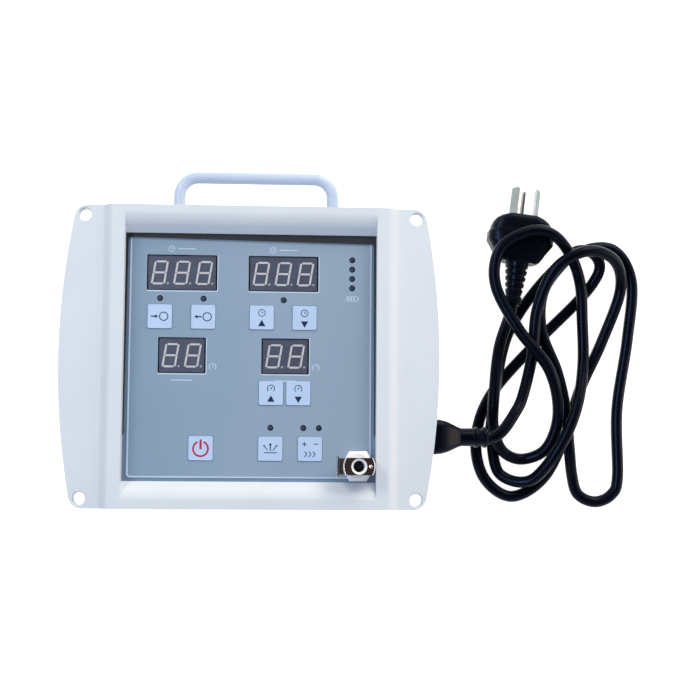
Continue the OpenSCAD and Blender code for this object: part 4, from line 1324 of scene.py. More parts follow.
@dataclass
class Screws:
    """A pan-head screw with a cross recess, modelled once and copied to its places."""

    name: str
    head_radius: float
    head_height: float
    shaft_radius: float
    shaft_length: float
    countersunk: bool = False

    def master(self) -> Piece:
        """Turn the screw along +Z with its head's underside at 0, and sink the cross in it.

        Returns:
            The screw.
        """
        r, h, s = self.head_radius, self.head_height, self.shaft_radius
        foot = [(s * 0.6, -self.shaft_length), (s, -self.shaft_length + s * 0.5), (s, 0.0)]
        if self.countersunk:
            rings = [*foot[:2], (s, -h), (r, 0.0), (r - 0.05, 0.02)]
            top = 0.02
        else:
            rings = [*foot, (r, 0.0), (r, h * 0.5), (r * 0.9, h * 0.8), (r * 0.6, h)]
            top = h
        made = turned(self.name, rings, sides=32)
        arm, thin, deep = r * 0.56, r * 0.11, min(h * 0.6, 1.2)
        for x, y in ((arm, thin), (thin, arm)):
            tool = block("cross", (-x, -y, top - deep), (x, y, top + 0.5))
            with shaping(tool):
                pick(tool, Part.FACES, lambda f: f.normal.z < -0.9)
                scale(0.55, 0.55)
            carve(made, tool)
        return made

    def copies(self, places: Sequence[tuple[Point, Facing]]) -> Piece:
        """Set a screw where each head's underside is, with the head facing as told."""
        return repeated(self.master(), self.name, [(at, facing.value) for at, facing in places])

    def build(self, places: Sequence[tuple[Point, Facing]], node: str) -> Piece:
        """Copy the screw to its places and hand the screws over for their part node."""
        return hand_over(self.copies(places), "unit", [node], ZINC_SCREW)


@dataclass
class Inlet:
    """Mains inlet in the right wall: flange, shroud, terminals and its two screws."""

    wall: float = 88.0
    y: float = -43.0
    z: float = 30.0
    flange: Point = (3.0, 24.0, 40.0)
    shroud: Spot = (19.5, 27.5)
    opening: Spot = (16.6, 24.6)
    screw_reach: float = 16.5
    contacts: Sequence[Spot] = ((2.5, -7.0), (-2.5, 0.0), (2.5, 7.0))

    def build(self) -> None:
        """Make the inlet and its screws."""
        thick, wide, tall = self.flange
        x, y, z = self.wall, self.y, self.z
        w, h = wide / 2, tall / 2
        face = block("mains_inlet_socket", (-w, -h, 0), (w, h, thick), 3.5)
        soften(face, 0.5, 3, 40)
        w, h = self.shroud[0] / 2, self.shroud[1] / 2
        carve(face, block("rear", (-w, -h, -20), (w, h, 0.5), 2.0), Cut.ADD)
        w, h = self.opening[0] / 2, self.opening[1] / 2
        carve(face, block("mouth", (-w, -h, -18), (w, h, 6), 1.0))
        ends = [s * self.screw_reach for s in (-1, 1)]
        for end in ends:
            carve(face, turned("bore", [(1.55, -2), (1.55, 6)], (0, end, 0), sides=24))
        tabs = [
            block("tab", (-0.4 + dx, dy - 2.4, -28), (0.4 + dx, dy + 2.4, -18))
            for dx, dy in self.contacts
        ]
        blades = [
            soften(block("blade", (-1 + dx, dy - 2, -18), (1 + dx, dy + 2, 0)), 0.3)
            for dx, dy in self.contacts
        ]
        coated(face, INLET_NYLON)
        for piece in (*tabs, *blades):
            coated(piece, PIN_NICKEL)
        made = joined("mains_inlet_socket", [*tabs, *blades, face])
        put(made, (x, y, z), Facing.RIGHT.value)
        hand_over(made, "unit", ["power_inlet"])
        screws = Screws("inlet_flange_screws", 2.7, 1.8, 1.45, 8.0)
        screws.build([((x + thick, y, z + end), Facing.RIGHT) for end in ends], "inlet_screws")


# Case


@dataclass
class Bezel:
    """Front moulding: bowed wings, a raised frame, sloped bars and four through holes."""

    half_w: float = 97.0
    half_h: float = 84.0
    bulge: float = 8.5
    z_back: float = 80.0
    z_wing: float = 86.0
    z_ridge: float = 90.0
    opening: Spot = (70.0, 69.0)
    ridge_top: float = 77.5
    ridge_foot: float = 82.0
    bar_lip: float = 76.0
    lip_rounds: Spot = (3.2, 4.6)
    ridge_round: float = 1.6
    corner: float = 6.0
    holes: Spot = (92.5, 78.5)
    hole_radius: float = 3.5
    screw_holes: Spot = (81.0, 66.5)
    screw_bore: float = 2.0
    pocket: Point = (77.3, 70.0, 1.7)

    def bow(self, y: float) -> float:
        """Give how far the side edge stands out at a height on the front."""
        radius = (self.half_h**2 + self.bulge**2) / (2 * self.bulge)
        return self.bulge - (radius - math.sqrt(radius**2 - min(abs(y), self.half_h) ** 2))

    def build(self) -> None:
        """Shape the moulding and hand it over."""
        made = self.plate()
        self.raise_ridge(made)
        self.open_middle(made)
        self.slope_bars(made)
        soften(made, 0.9, 4, 28)
        self.bore(made)
        hand_over(made, "unit", ["front_bezel"], BEZEL_ABS, 40)

    def plate(self) -> Piece:
        """Cut a rounded plate into strips and bow its sides.

        Returns:
            The plate.
        """
        made = block(
            "front_bezel_moulding",
            (-self.half_w, -self.half_h, self.z_back),
            (self.half_w, self.half_h, self.z_wing),
            self.corner,
            6,
        )
        half_x, half_y = self.opening
        across = [s * x for x in (half_x, self.ridge_top, self.ridge_foot) for s in (-1, 1)]
        along = [s * y for y in (half_y, self.bar_lip, 60, 48, 36, 24, 12) for s in (-1, 1)]
        with shaping(made):
            for x in across:
                everything()
                bpy.ops.mesh.bisect(plane_co=(x, 0, 0), plane_no=(1, 0, 0))
            for y in [0, *along]:
                everything()
                bpy.ops.mesh.bisect(plane_co=(0, y, 0), plane_no=(0, 1, 0))
        for v in made.data.vertices:
            if abs(v.co.x) > self.ridge_foot + 0.5:
                v.co.x += math.copysign(self.bow(v.co.y), v.co.x)
        return made

    def raise_ridge(self, made: Piece) -> None:
        """Lift the raised frame and lean its outer sides.

        Args:
            made: The moulding.
        """
        lines = ((self.ridge_top, self.z_ridge), (self.ridge_foot, self.z_wing))

        def framed(face: Face) -> bool:
            """Say whether a face is on the front between the ridges' feet."""
            return upper(face) and abs(face.calc_center_median().x) < self.ridge_foot

        def rolled(edge: Edge) -> bool:
            """Say whether an edge runs along a ridge's top or its foot."""
            ends = [(round(abs(v.co.x), 2), round(v.co.z, 2)) for v in edge.verts]
            return ends[0] == ends[1] and ends[0] in lines

        with shaping(made):
            pick(made, Part.FACES, framed)
            pull(z=self.z_ridge - self.z_wing)
        for v in made.data.vertices:
            if v.co.z > self.z_ridge - 0.01 and abs(abs(v.co.x) - self.ridge_foot) < 0.01:
                v.co.x = math.copysign(self.ridge_top, v.co.x)
        with shaping(made):
            everything()
            bpy.ops.mesh.remove_doubles(threshold=0.001)
            pick(made, Part.EDGES, rolled)
            bpy.ops.mesh.bevel(offset=self.ridge_round, segments=5, affect="EDGES")
        outwards(made)

    def open_middle(self, made: Piece) -> None:
        """Bridge the front and back faces of the opening, so that it goes through.

        Args:
            made: The moulding.
        """
        half_x, half_y = self.opening

        def inside(f: Face) -> bool:
            """Say whether a face closes the opening."""
            c = f.calc_center_median()
            return abs(f.normal.z) > 0.9 and abs(c.x) < half_x and abs(c.y) < half_y

        with shaping(made):
            pick(made, Part.FACES, inside)
            bpy.ops.mesh.bridge_edge_loops()
        outwards(made)

    def slope_bars(self, made: Piece) -> None:
        """Cut the slopes from the bars down into the opening, rolled over in a wide round.

        Args:
            made: The moulding.
        """
        half_x, half_y = self.opening
        foot, top = self.z_wing - 2, self.z_ridge + 0.004
        for s, lip_round in zip((-1, 1), self.lip_rounds):
            outline = [
                ((half_y - 3) * s, foot), (half_y * s, foot), (self.bar_lip * s, top),
                ((self.bar_lip + lip_round + 1) * s, top),
                ((self.bar_lip + lip_round + 1) * s, top + 2), ((half_y - 3) * s, top + 2),
            ]  # fmt: skip
            tool = drawn("slope", outline, -half_x, half_x)

            def lip(edge: Edge) -> bool:
                """Say whether an edge of the tool lies where slope and flat meet."""
                return all(abs(abs(v.co.y) - self.bar_lip) < 0.05 for v in edge.verts)

            with shaping(tool):
                pick(tool, Part.EDGES, lip)
                bpy.ops.mesh.bevel(offset=lip_round, segments=7, affect="EDGES")
            carve(made, tool)

    def bore(self, made: Piece) -> None:
        """Bore the wing holes with a small countersink, and make room for panel and screws.

        Args:
            made: The moulding.
        """
        r, (x, y), (screw_x, screw_y) = self.hole_radius, self.holes, self.screw_holes
        wing = [(r, self.z_back - 1), (r, self.z_wing - 0.5), (r + 1.2, self.z_wing + 0.7)]
        blind = [(self.screw_bore, self.z_back - 1), (self.screw_bore, self.z_back + 4)]
        for sx in (-1, 1):
            for sy in (-1, 1):
                carve(made, turned("bore", wing, (sx * x, sy * y, 0)))
                carve(made, turned("bore", blind, (sx * screw_x, sy * screw_y, 0), sides=24))
        w, h, deep = self.pocket
        carve(made, block("pocket", (-w, -h, self.z_back - 1), (w, h, self.z_back + deep)))


@dataclass
class Handle:
    """Carry handle: one bent rod with a ferrule at each leg."""

    middle_x: float = 1.5
    half_pitch: float = 45.0
    wall_y: float = 74.0
    height: float = 34.5
    z: float = 45.0
    rod: float = 3.5
    bend: float = 11.0

    def build(self) -> None:
        """Bend the rod, add the ferrules and hand both over."""
        left, right = self.middle_x - self.half_pitch, self.middle_x + self.half_pitch
        leg = self.height - self.bend
        top = self.wall_y + leg
        at = (left, self.wall_y, self.z)
        made = disc("carry_handle_rod", 32, self.rod, at, (math.pi / 2, 0, 0))
        with shaping(made):
            everything()
            pull(y=leg)
            self.bend_rod((left + self.bend, top, self.z))
            pull(x=2 * (self.half_pitch - self.bend))
            self.bend_rod((right - self.bend, top, self.z))
            pull(y=-leg)
        outwards(made)
        ferrules = [self.ferrule(x) for x in (left, right)]
        made = joined("carry_handle_rod", [*ferrules, made])
        hand_over(made, "unit", ["carry_handle"], HANDLE_COAT)

    def bend_rod(self, centre: Point) -> None:
        """Spin the rod's open end a quarter turn to the right about a point."""
        bpy.ops.mesh.spin(steps=14, angle=math.pi / 2, center=centre, axis=(0, 0, 1))

    def ferrule(self, x: float) -> Piece:
        """Turn the flanged ferrule at one leg.

        Args:
            x: The leg's place.

        Returns:
            The ferrule.
        """
        r = self.rod + 2
        rings = [(r, 0.0), (r, 1.7), (r - 0.5, 2.2), (r - 1.3, 2.5), (self.rod - 0.3, 2.6)]
        return soften(turned("ferrule", rings, (x, self.wall_y, self.z), Facing.AWAY, 40), 0.2, 2)


@dataclass
class Feet:
    """Four rubber feet on the foot wall with their screws."""

    x: float = 68.0
    heights: Spot = (18.0, 54.0)
    wall_y: float = -74.0
    tall: float = 10.9
    radius: float = 7.0
    recess: float = 4.0

    def build(self, handle: Handle) -> None:
        """Turn one foot, copy it, and set the screws in the recesses and up the handle's legs.

        Args:
            handle: Gives the legs' places.
        """
        r, h, deep = self.radius, self.tall, self.recess
        rings = [
            (r - 0.4, 0.0), (r, 0.5), (r - 0.3, 2.5), (r - 1.4, h - 1.6), (r - 1.7, h - 0.6),
            (r - 2.2, h), (3.8, h), (3.4, h - 0.4), (3.4, h - deep), (1.7, h - deep), (1.7, h - 6),
        ]  # fmt: skip
        foot = turned("foot", rings, (0, 0, 0), Facing.NEAR, 40)
        places = [(s * self.x, self.wall_y, z) for s in (-1, 1) for z in self.heights]
        feet = repeated(foot, "rubber_feet", [(at, STRAIGHT) for at in places])
        hand_over(feet, "unit", ["base_feet"], FOOT_RUBBER)
        lower = Screws("foot_screws", 3.0, 2.2, 1.6, 11.9)
        upper = Screws("handle_screws", 3.6, 2.6, 1.95, 12.0)
        legs = [
            ((handle.middle_x + s * handle.half_pitch, 72, handle.z), Facing.NEAR) for s in (-1, 1)
        ]
        recesses = [((x, y - h + deep, z), Facing.NEAR) for x, y, z in places]
        made = joined("wall_screws_set", [upper.copies(legs), lower.copies(recesses)])
        hand_over(made, "unit", ["wall_screws"], ZINC_SCREW)


@dataclass
class CaseScrews:
    """Four long screws with countersunk heads flush in the rear cover."""

    z: float = 0.06

    def build(self, bezel: Bezel) -> None:
        """Set the screws under the bezel's screw holes.

        Args:
            bezel: Gives the holes.
        """
        x, y = bezel.screw_holes
        screws = Screws("long_case_screws", 3.7, 1.75, 1.95, 82.8, True)
        places = [((sx * x, sy * y, self.z), Facing.DOWN) for sx in (-1, 1) for sy in (-1, 1)]
        screws.build(places, "case_screws")


# Front panel


class Legend(Enum):
    """What is printed on a key."""

    FILL = "fill"
    EMPTY = "empty"
    UP_TIME = "up time"
    DOWN_TIME = "down time"
    UP_GAUGE = "up gauge"
    DOWN_GAUGE = "down gauge"
    POWER = "power"
    RELEASE = "release"
    SPEED = "speed"


@dataclass
class Ink:
    """Flat printed shapes at one height, drawn as thin meshes and joined at the end."""

    z: float
    thick: float = 0.03
    shapes: list[Piece] = field(default_factory=list)

    def keep(self, piece: Piece) -> None:
        """Give a flat shape its thickness and keep it.

        Args:
            piece: The shape.
        """
        with shaping(piece):
            everything()
            pull(z=self.thick)
        self.shapes.append(outwards(piece))

    def bar(self, start: Spot, end: Spot, width: float) -> None:
        """Print a straight stroke.

        Args:
            start: Where it starts.
            end: Where it ends.
            width: Its width.
        """
        run = Vector(end) - Vector(start)
        at = (*((Vector(start) + Vector(end)) / 2), self.z)
        clear()
        bpy.ops.mesh.primitive_plane_add(size=1, location=at, rotation=(0, 0, bearing(run)))
        bpy.context.object.scale = (run.length, width, 1)
        self.keep(named("stroke"))

    def ring(
        self, at: Spot, radius: float, width: float, gap: float = 0.0, towards: float = 90.0
    ) -> None:
        """Print a ring, or an arc with a gap.

        Args:
            at: Its middle.
            radius: Radius to the middle of the stroke.
            width: The stroke's width.
            gap: Half of the gap's angle in degrees, or 0 for a whole ring.
            towards: Direction of the gap's middle in degrees.
        """
        piece = disc("ring", 48, radius + width / 2, (*at, self.z))

        def cut(face: Face) -> bool:
            """Say whether a face is the middle or lies in the gap.

            Args:
                face: The face.

            Returns:
                True if it goes.
            """
            c = face.calc_center_median() - Vector((*at, self.z))
            away = (math.degrees(bearing(c)) - towards + 180) % 360 - 180
            return c.length < radius * 0.5 or abs(away) < gap

        with shaping(piece):
            everything()
            bpy.ops.mesh.inset(thickness=width)
            pick(piece, Part.FACES, cut)
            bpy.ops.mesh.delete(type="FACE")
        self.keep(piece)

    def spot(self, at: Spot, radius: float, corners: int = 24, towards: float = 90.0) -> None:
        """Print a filled disc, or a polygon with a corner towards a direction in degrees."""
        turn = (0, 0, math.radians(towards - 90))
        self.keep(disc("spot", corners, radius, (*at, self.z), turn))

    def clock(self, at: Spot, radius: float) -> None:
        """Print a small clock face.

        Args:
            at: Its middle.
            radius: Its radius.
        """
        self.ring(at, radius, radius * 0.22)
        self.bar(at, (at[0], at[1] + radius * 0.62), radius * 0.2)
        self.bar(at, (at[0] + radius * 0.5, at[1]), radius * 0.2)

    def gauge(self, at: Spot, radius: float) -> None:
        """Print a small pressure gauge: an open dial with its needle.

        Args:
            at: Its middle.
            radius: Its radius.
        """
        self.ring(at, radius, radius * 0.22, 45, -90)
        self.bar(at, (at[0] + radius * 0.45, at[1] + radius * 0.5), radius * 0.2)
        self.spot(at, radius * 0.2, 16)

    def arrow(self, start: Spot, end: Spot, width: float) -> None:
        """Print an arrow.

        Args:
            start: Where its shaft starts.
            end: Where its head ends.
            width: Its shaft's width.
        """
        run = (Vector(end) - Vector(start)).normalized()
        head = width * 1.7
        neck = Vector(end) - run * head * 1.2
        self.bar(start, tuple(neck), width)
        self.spot(tuple(Vector(end) - run * head), head, 3, math.degrees(bearing(run)))

    def done(self, name: str, body: str, finish: Finish) -> None:
        """Join the shapes and hand them over."""
        hand_over(joined(name, self.shapes), body, finish=finish)


@dataclass
class Keypad:
    """Nine square keys on their bodies, each with its printed legend."""

    side: float = 13.5
    proud: float = 82.5
    flange_z: float = 79.9
    places: Sequence[tuple[str, Spot, Legend]] = (
        ("key_inflate", (-50.6, 22.3), Legend.FILL),
        ("key_deflate", (-26.5, 22.3), Legend.EMPTY),
        ("key_time_up", (6.1, 22.3), Legend.UP_TIME),
        ("key_time_down", (30.0, 22.3), Legend.DOWN_TIME),
        ("key_pressure_up", (11.7, -19.8), Legend.UP_GAUGE),
        ("key_pressure_down", (26.9, -19.8), Legend.DOWN_GAUGE),
        ("key_power", (-26.8, -50.7), Legend.POWER),
        ("key_relieve", (11.7, -50.7), Legend.RELEASE),
        ("key_speed", (33.7, -50.7), Legend.SPEED),
    )

    def build(self) -> None:
        """Mould one key, copy it to every place and print on each."""
        master = self.master()
        for node, (x, y), legend in self.places:
            cap = copied(master, f"{node}_cap", (x, y, 0))
            hand_over(cap, node, [node])
            self.print_legend(node, (x, y), legend)
        bpy.data.objects.remove(master)

    def master(self) -> Piece:
        """Mould the cap with its flange, stem and switch plunger.

        Returns:
            The key.
        """
        half, z = self.side / 2, self.flange_z
        cap = block("cap", (-half, -half, z), (half, half, self.proud), 1.0, 5)
        with shaping(cap):
            pick(cap, Part.FACES, upper)
            bpy.ops.mesh.inset(thickness=0.65)
            shift(z=-0.05)
            bpy.ops.mesh.inset(thickness=0.2)
        soften(cap, 0.22, 3, 40)
        flange = block("flange", (-half, -half - 1, z - 0.8), (half, half + 1, z), 0.5, 2)
        stem = turned("stem", [(2.4, 78.1), (2.4, z - 0.7)], sides=24)
        plunger = turned("plunger", [(1.75, 75.3), (1.75, 78.2)], sides=24)
        for piece in (cap, flange, stem):
            coated(piece, KEY_ABS)
        coated(plunger, SENSOR_WHITE)
        return joined("key_master", [flange, stem, plunger, cap])

    def print_legend(self, node: str, at: Spot, legend: Legend) -> None:
        """Print one key's legend on its cap.

        Args:
            node: The key's name, which is its body's too.
            at: The key's middle.
            legend: What is printed.
        """
        x, y = at
        ink = Ink(self.proud - 0.075)
        finish = INK_NAVY
        match legend:
            case Legend.POWER:
                ink.ring((x, y - 0.3), 4.1, 1.05, 26)
                ink.bar((x, y - 0.6), (x, y + 4.9), 1.25)
                finish = INK_RED
            case Legend.FILL | Legend.EMPTY:
                ink.ring((x + 2.2, y), 2.3, 0.55)
                ends = ((x - 5.0, y), (x - 0.8, y))
                ink.arrow(*(ends if legend is Legend.FILL else ends[::-1]), 0.7)
            case Legend.UP_TIME | Legend.DOWN_TIME:
                ink.clock((x, y + 2.6), 1.9)
                self.triangle(ink, (x, y - 3.4), legend is Legend.UP_TIME)
            case Legend.UP_GAUGE | Legend.DOWN_GAUGE:
                ink.gauge((x, y + 2.4), 2.0)
                self.triangle(ink, (x, y - 3.4), legend is Legend.UP_GAUGE)
            case Legend.RELEASE:
                ink.bar((x - 3.6, y - 2.2), (x + 3.6, y - 2.2), 0.5)
                ink.arrow((x, y - 1.2), (x, y + 3.4), 0.6)
                for s in (-1, 1):
                    ink.arrow((x + s * 1.4, y - 1.0), (x + s * 3.9, y + 2.2), 0.45)
            case Legend.SPEED:
                ink.bar((x - 4.4, y + 2.7), (x - 1.9, y + 2.7), 0.5)
                ink.bar((x - 3.15, y + 1.45), (x - 3.15, y + 3.95), 0.5)
                ink.bar((x + 2.1, y + 2.7), (x + 4.6, y + 2.7), 0.5)
                for i in range(3):
                    left = x - 3.0 + 2.3 * i
                    ink.bar((left, y - 1.4), (left + 1.3, y - 2.9), 0.5)
                    ink.bar((left, y - 4.4), (left + 1.3, y - 2.9), 0.5)
        ink.done(f"{node}_legend", node, finish)

    def triangle(self, ink: Ink, at: Spot, up: bool) -> None:
        """Print the arrowhead of an up or down key."""
        ink.spot((at[0], at[1] + (-0.3 if up else 0.3)), 2.4, 3, 90.0 if up else -90.0)


@dataclass
class Displays:
    """Four digit displays: filled case, dark face, slanted segments and decimal dots."""

    z_low: float = 73.5
    z_high: float = 81.5
    digit: Spot = (6.8, 12.4)
    pitch: float = 12.35
    stroke: float = 1.06
    ink: float = 0.06
    slant: float = 0.16
    places: Sequence[tuple[str, Spot, Spot, int]] = (
        ("elapsed_time_display", (-38.6, 47.0), (37.6, 19.0), 3),
        ("set_time_display", (18.0, 47.0), (37.6, 19.0), 3),
        ("measured_pressure_display", (-38.0, 0.7), (25.0, 19.0), 2),
        ("set_pressure_display", (19.4, 0.7), (25.0, 19.0), 2),
    )

    def build(self) -> None:
        """Model one digit, then each display with its own copies."""
        digit = self.digit_master()
        for node, (x, y), (wide, tall), count in self.places:
            self.module(node, (x, y), (wide, tall))
            self.digits(node, digit, (x, y), count)
        bpy.data.objects.remove(digit)

    def segment(self, at: Spot, length: float, level: bool) -> Piece:
        """Model one segment bar with its corners cut.

        Args:
            at: Its middle.
            length: Its length.
            level: Whether it lies across the digit.

        Returns:
            The bar.
        """
        half = self.stroke / 2
        bar = block("segment", (-length / 2, -half, 0), (length / 2, half, self.ink), 0.2, 1)
        return put(bar, (*at, 0), (0, 0, 0.0 if level else math.pi / 2))

    def digit_master(self) -> Piece:
        """Set seven segments and a dot, and slant them.

        Returns:
            The digit.
        """
        wide, tall = self.digit
        half = tall / 4
        bars = [self.segment((0, s * tall / 2), wide - 1.25, True) for s in (-1, 0, 1)]
        bars += [
            self.segment((sx * wide / 2, sy * half), tall / 2 - 0.25, False)
            for sx in (-1, 1)
            for sy in (-1, 1)
        ]
        for bar in bars:
            coated(bar, SEGMENT_EPOXY)
        at = (wide / 2 + 2.1, -tall / 2 + 0.2, 0)
        dot = turned("dot", [(0.62, 0.0), (0.62, self.ink)], at, sides=16)
        coated(dot, DOT_EPOXY)
        made = joined("digit_master", [dot, *bars])
        for v in made.data.vertices:
            v.co.x += self.slant * v.co.y
        return made

    def digits(self, node: str, digit: Piece, at: Spot, count: int) -> None:
        """Copy the digit along one display.

        Args:
            node: The display's name.
            digit: The digit.
            at: The display's middle.
            count: How many digits it has.
        """
        x, y = at
        first = -(count - 1) / 2
        places = [
            ((x + (first + i) * self.pitch - 0.1, y, self.z_high - 0.02), STRAIGHT)
            for i in range(count)
        ]
        hand_over(repeated(copied(digit, "digit"), f"{node}_digits", places), "unit")

    def module(self, node: str, at: Spot, size: Spot) -> None:
        """Build the display's case with its recessed face.

        Args:
            node: The display's name.
            at: Its middle.
            size: Its width and height.
        """
        x, y = at
        w, h = size[0] / 2, size[1] / 2
        made = block(f"{node}_module", (x - w, y - h, self.z_low), (x + w, y + h, self.z_high))
        with shaping(made):
            pick(made, Part.FACES, upper)
            bpy.ops.mesh.inset(thickness=0.35)
            shift(z=-0.05)
            bpy.ops.mesh.inset(thickness=0.1)
            shift(z=0.03)
        soften(made, 0.08, 2, 40)
        coated(made, DISPLAY_CASE)
        made.data.materials.append(DISPLAY_FACE.material())
        for face in made.data.polygons:
            if face.normal.z > 0.9 and face.center.z > self.z_high - 0.5:
                face.material_index = 1
        hand_over(made, "unit", [node])


@dataclass
class Panel:
    """Printed film with its openings, window edges, pale marks, and the lamps behind it."""

    size: Spot = (135.0, 134.0)
    z_low: float = 81.7
    z_high: float = 82.0
    lamp_hole: float = 1.8
    lamps: Sequence[Spot] = (
        (-50.6, 32.5), (-26.5, 32.5), (18.2, 32.2), (56.5, 55.3), (56.5, 50.0),
        (56.5, 44.7), (56.5, 39.4), (11.6, -39.1), (29.9, -39.1), (38.5, -39.1),
    )  # fmt: skip
    coupling: Spot = COUPLING_SPOT
    coupling_hole: float = 6.5
    seal_half: Spot = (69.7, 68.7)

    def build(self, keypad: Keypad, displays: Displays) -> None:
        """Make the film, its print, the seal and the lamps.

        Args:
            keypad: Gives the key openings.
            displays: Gives the windows.
        """
        self.film(keypad, displays)
        self.trims(displays)
        self.marks(displays)
        self.seal()
        self.lenses()

    def windows(self, displays: Displays) -> Iterator[tuple[float, float, float, float]]:
        """Give each window's left, right, bottom and top."""
        for _, (x, y), (wide, tall), _ in displays.places:
            yield x - wide / 2 - 0.8, x + wide / 2 + 0.8, y - tall / 2 - 0.5, y + tall / 2 + 0.5

    def film(self, keypad: Keypad, displays: Displays) -> None:
        """Cut the film and its openings.

        Args:
            keypad: Gives the key openings.
            displays: Gives the windows.
        """
        w, h = self.size[0] / 2, self.size[1] / 2
        made = block("panel_overlay_film", (-w, -h, self.z_low), (w, h, self.z_high), 2.0, 5)
        z0, z1 = self.z_low - 1, self.z_high + 1
        gap = keypad.side / 2 + 0.15
        tools = [
            block("opening", (x - gap, y - gap, z0), (x + gap, y + gap, z1), 1.0, 4)
            for _, (x, y), _ in keypad.places
        ]
        tools += [
            block("window", (x0, y0, z0), (x1, y1, z1), 0.6, 3)
            for x0, x1, y0, y1 in self.windows(displays)
        ]
        holes = [(spot, self.lamp_hole) for spot in self.lamps]
        holes.append((self.coupling, self.coupling_hole))
        tools += [turned("hole", [(r, z0), (r, z1)], (*spot, 0)) for spot, r in holes]
        carve(made, joined("openings", tools))
        soften(made, 0.06, 2, 40)
        hand_over(made, "unit", ["panel_film"], FILM_POLYESTER)

    def trims(self, displays: Displays) -> None:
        """Edge the windows and the film with thin pale lines, partly print and partly painted
        highlight. Each window's line is wider at the right and bottom, the sides that catch the
        light.

        Args:
            displays: Gives the windows.
        """
        top = self.z_high
        rims = []
        for x0, x1, y0, y1 in self.windows(displays):
            # Wider at the right and bottom: painted highlight on the lit sides.
            low, high = (x0 - 0.1, y0 - 0.7, top - 0.2), (x1 + 0.5, y1 + 0.05, top + 0.05)
            rim = block("rim", low, high, 0.8, 4)
            hole = block("hole", (x0, y0, top - 1), (x1, y1, top + 1), 0.6, 3)
            rims.append(soften(carve(rim, hole), 0.03, 1))
        w, h = self.size[0] / 2, self.size[1] / 2
        edge = block("edge", (-w, -h, top - 0.2), (w, h, top + 0.04), 2.0, 5)
        low, high = (-w + 0.9, -h + 0.8, top - 1), (w - 0.9, h + 5, top + 1)
        edge = soften(carve(edge, block("hole", low, high, 1.4, 5)), 0.03, 1)
        r = self.coupling_hole
        carve(edge, turned("hole", [(r, top - 1), (r, top + 1)], (*self.coupling, 0)))
        hand_over(joined("edge_lines_print_and_highlight", [*rims, edge]), "unit", (), TRIM_PRINT_AND_HIGHLIGHT)

    def marks(self, displays: Displays) -> None:
        """Print the pale pictograms beside the displays and lamps.

        Args:
            displays: Gives the displays' places.
        """
        ink = Ink(self.z_high - 0.005)
        for x, y in self.lamps:
            ink.ring((x, y), self.lamp_hole + 0.12, 0.12)
        for node, (x, y), (wide, tall), _ in displays.places:
            top, foot = y + tall / 2, y - tall / 2
            if "time" in node:
                ink.clock((x - 6, top + 3.9), 1.6)
                ink.bar((x - 2.5, top + 3.9), (x + 7.5, top + 3.9), 0.45)
            else:
                ink.gauge((x + wide / 2 + 4.6, foot + 3.2), 1.9)
                ink.bar((x - 6, foot - 4.3), (x + 6, foot - 4.3), 0.45)
        self.battery(ink, (56.5, 33.4))
        ink.done("panel_marks", "unit", INK_PALE)

    def seal(self) -> None:
        """Lay the foam seal in an upturned U on the film's top edge and along both ridges. Its
        black partly stands in for the shade under the top bar and beside the ridges, and its top
        strip tapers, wider at the right, like that shade.
        """
        w, h = self.seal_half
        made = block("panel_foam_seal_and_shade", (-w, 64.4, self.z_high), (w, h, self.z_high + 1))
        # The taper makes the strip's painted shade wider at the right.
        with shaping(made):
            pick(made, Part.CORNERS, lambda v: v.co.x < 0 and v.co.y < 65)
            shift(y=2.4)
        carve(made, block("step", (-w, 67.3, self.z_low), (w, h, self.z_high + 0.5)), Cut.ADD)
        for s in (-1, 1):
            left, right = sorted((s * (w - 1), s * w))
            leg = block("leg", (left, -43.4, self.z_low), (right, 68, self.z_high + 1))
            with shaping(leg):
                pick(leg, Part.CORNERS, lambda v: v.co.y < 0 and abs(v.co.x) < w - 0.5)
                shift(x=s * 0.75)
            carve(made, leg, Cut.ADD)
        soften(made, 0.25, 3, 40)
        hand_over(made, "unit", ["panel_seal"], SEAL_FOAM_AND_SHADE, 50)

    def battery(self, ink: Ink, at: Spot) -> None:
        """Print a small battery under the column of lamps.

        Args:
            ink: Where it is drawn.
            at: Its middle.
        """
        x, y = at
        for s in (-1, 1):
            ink.bar((x - 3.2, y + s * 1.3), (x + 3.2, y + s * 1.3), 0.3)
            ink.bar((x + s * 3.2, y - 1.45), (x + s * 3.2, y + 1.45), 0.3)
        ink.bar((x + 3.7, y - 0.6), (x + 3.7, y + 0.6), 0.5)
        for i in range(3):
            ink.bar((x - 2.0 + 1.6 * i, y - 0.8), (x - 2.0 + 1.6 * i, y + 0.8), 0.8)

    def lenses(self) -> None:
        """Turn one lamp with its flange and dome, and copy it behind every hole."""
        top, r = self.z_high - 0.1, 1.68
        dome = [
            (r * math.cos(math.radians(a)), top - 0.5 + 0.5 * math.sin(math.radians(a)))
            for a in (0, 15, 30, 45, 60, 75, 86)
        ]
        rings = [(r + 0.12, 76.5), (r + 0.12, 77.3), (r, 77.3), *dome]
        lens = turned("lens", rings, sides=32)
        legs = [
            block("leg", (x - 0.25, -0.25, 73.5), (x + 0.25, 0.25, 76.6)) for x in (-0.8, 0.8)
        ]
        coated(lens, LAMP_EPOXY)
        for leg in legs:
            coated(leg, ZINC_SCREW)
        master = joined("lamp_master", [*legs, lens])
        lamps = repeated(master, "lamp_lenses", [((*spot, 0), STRAIGHT) for spot in self.lamps])
        hand_over(lamps, "unit", ["indicator_lamps"])


# Hose coupling


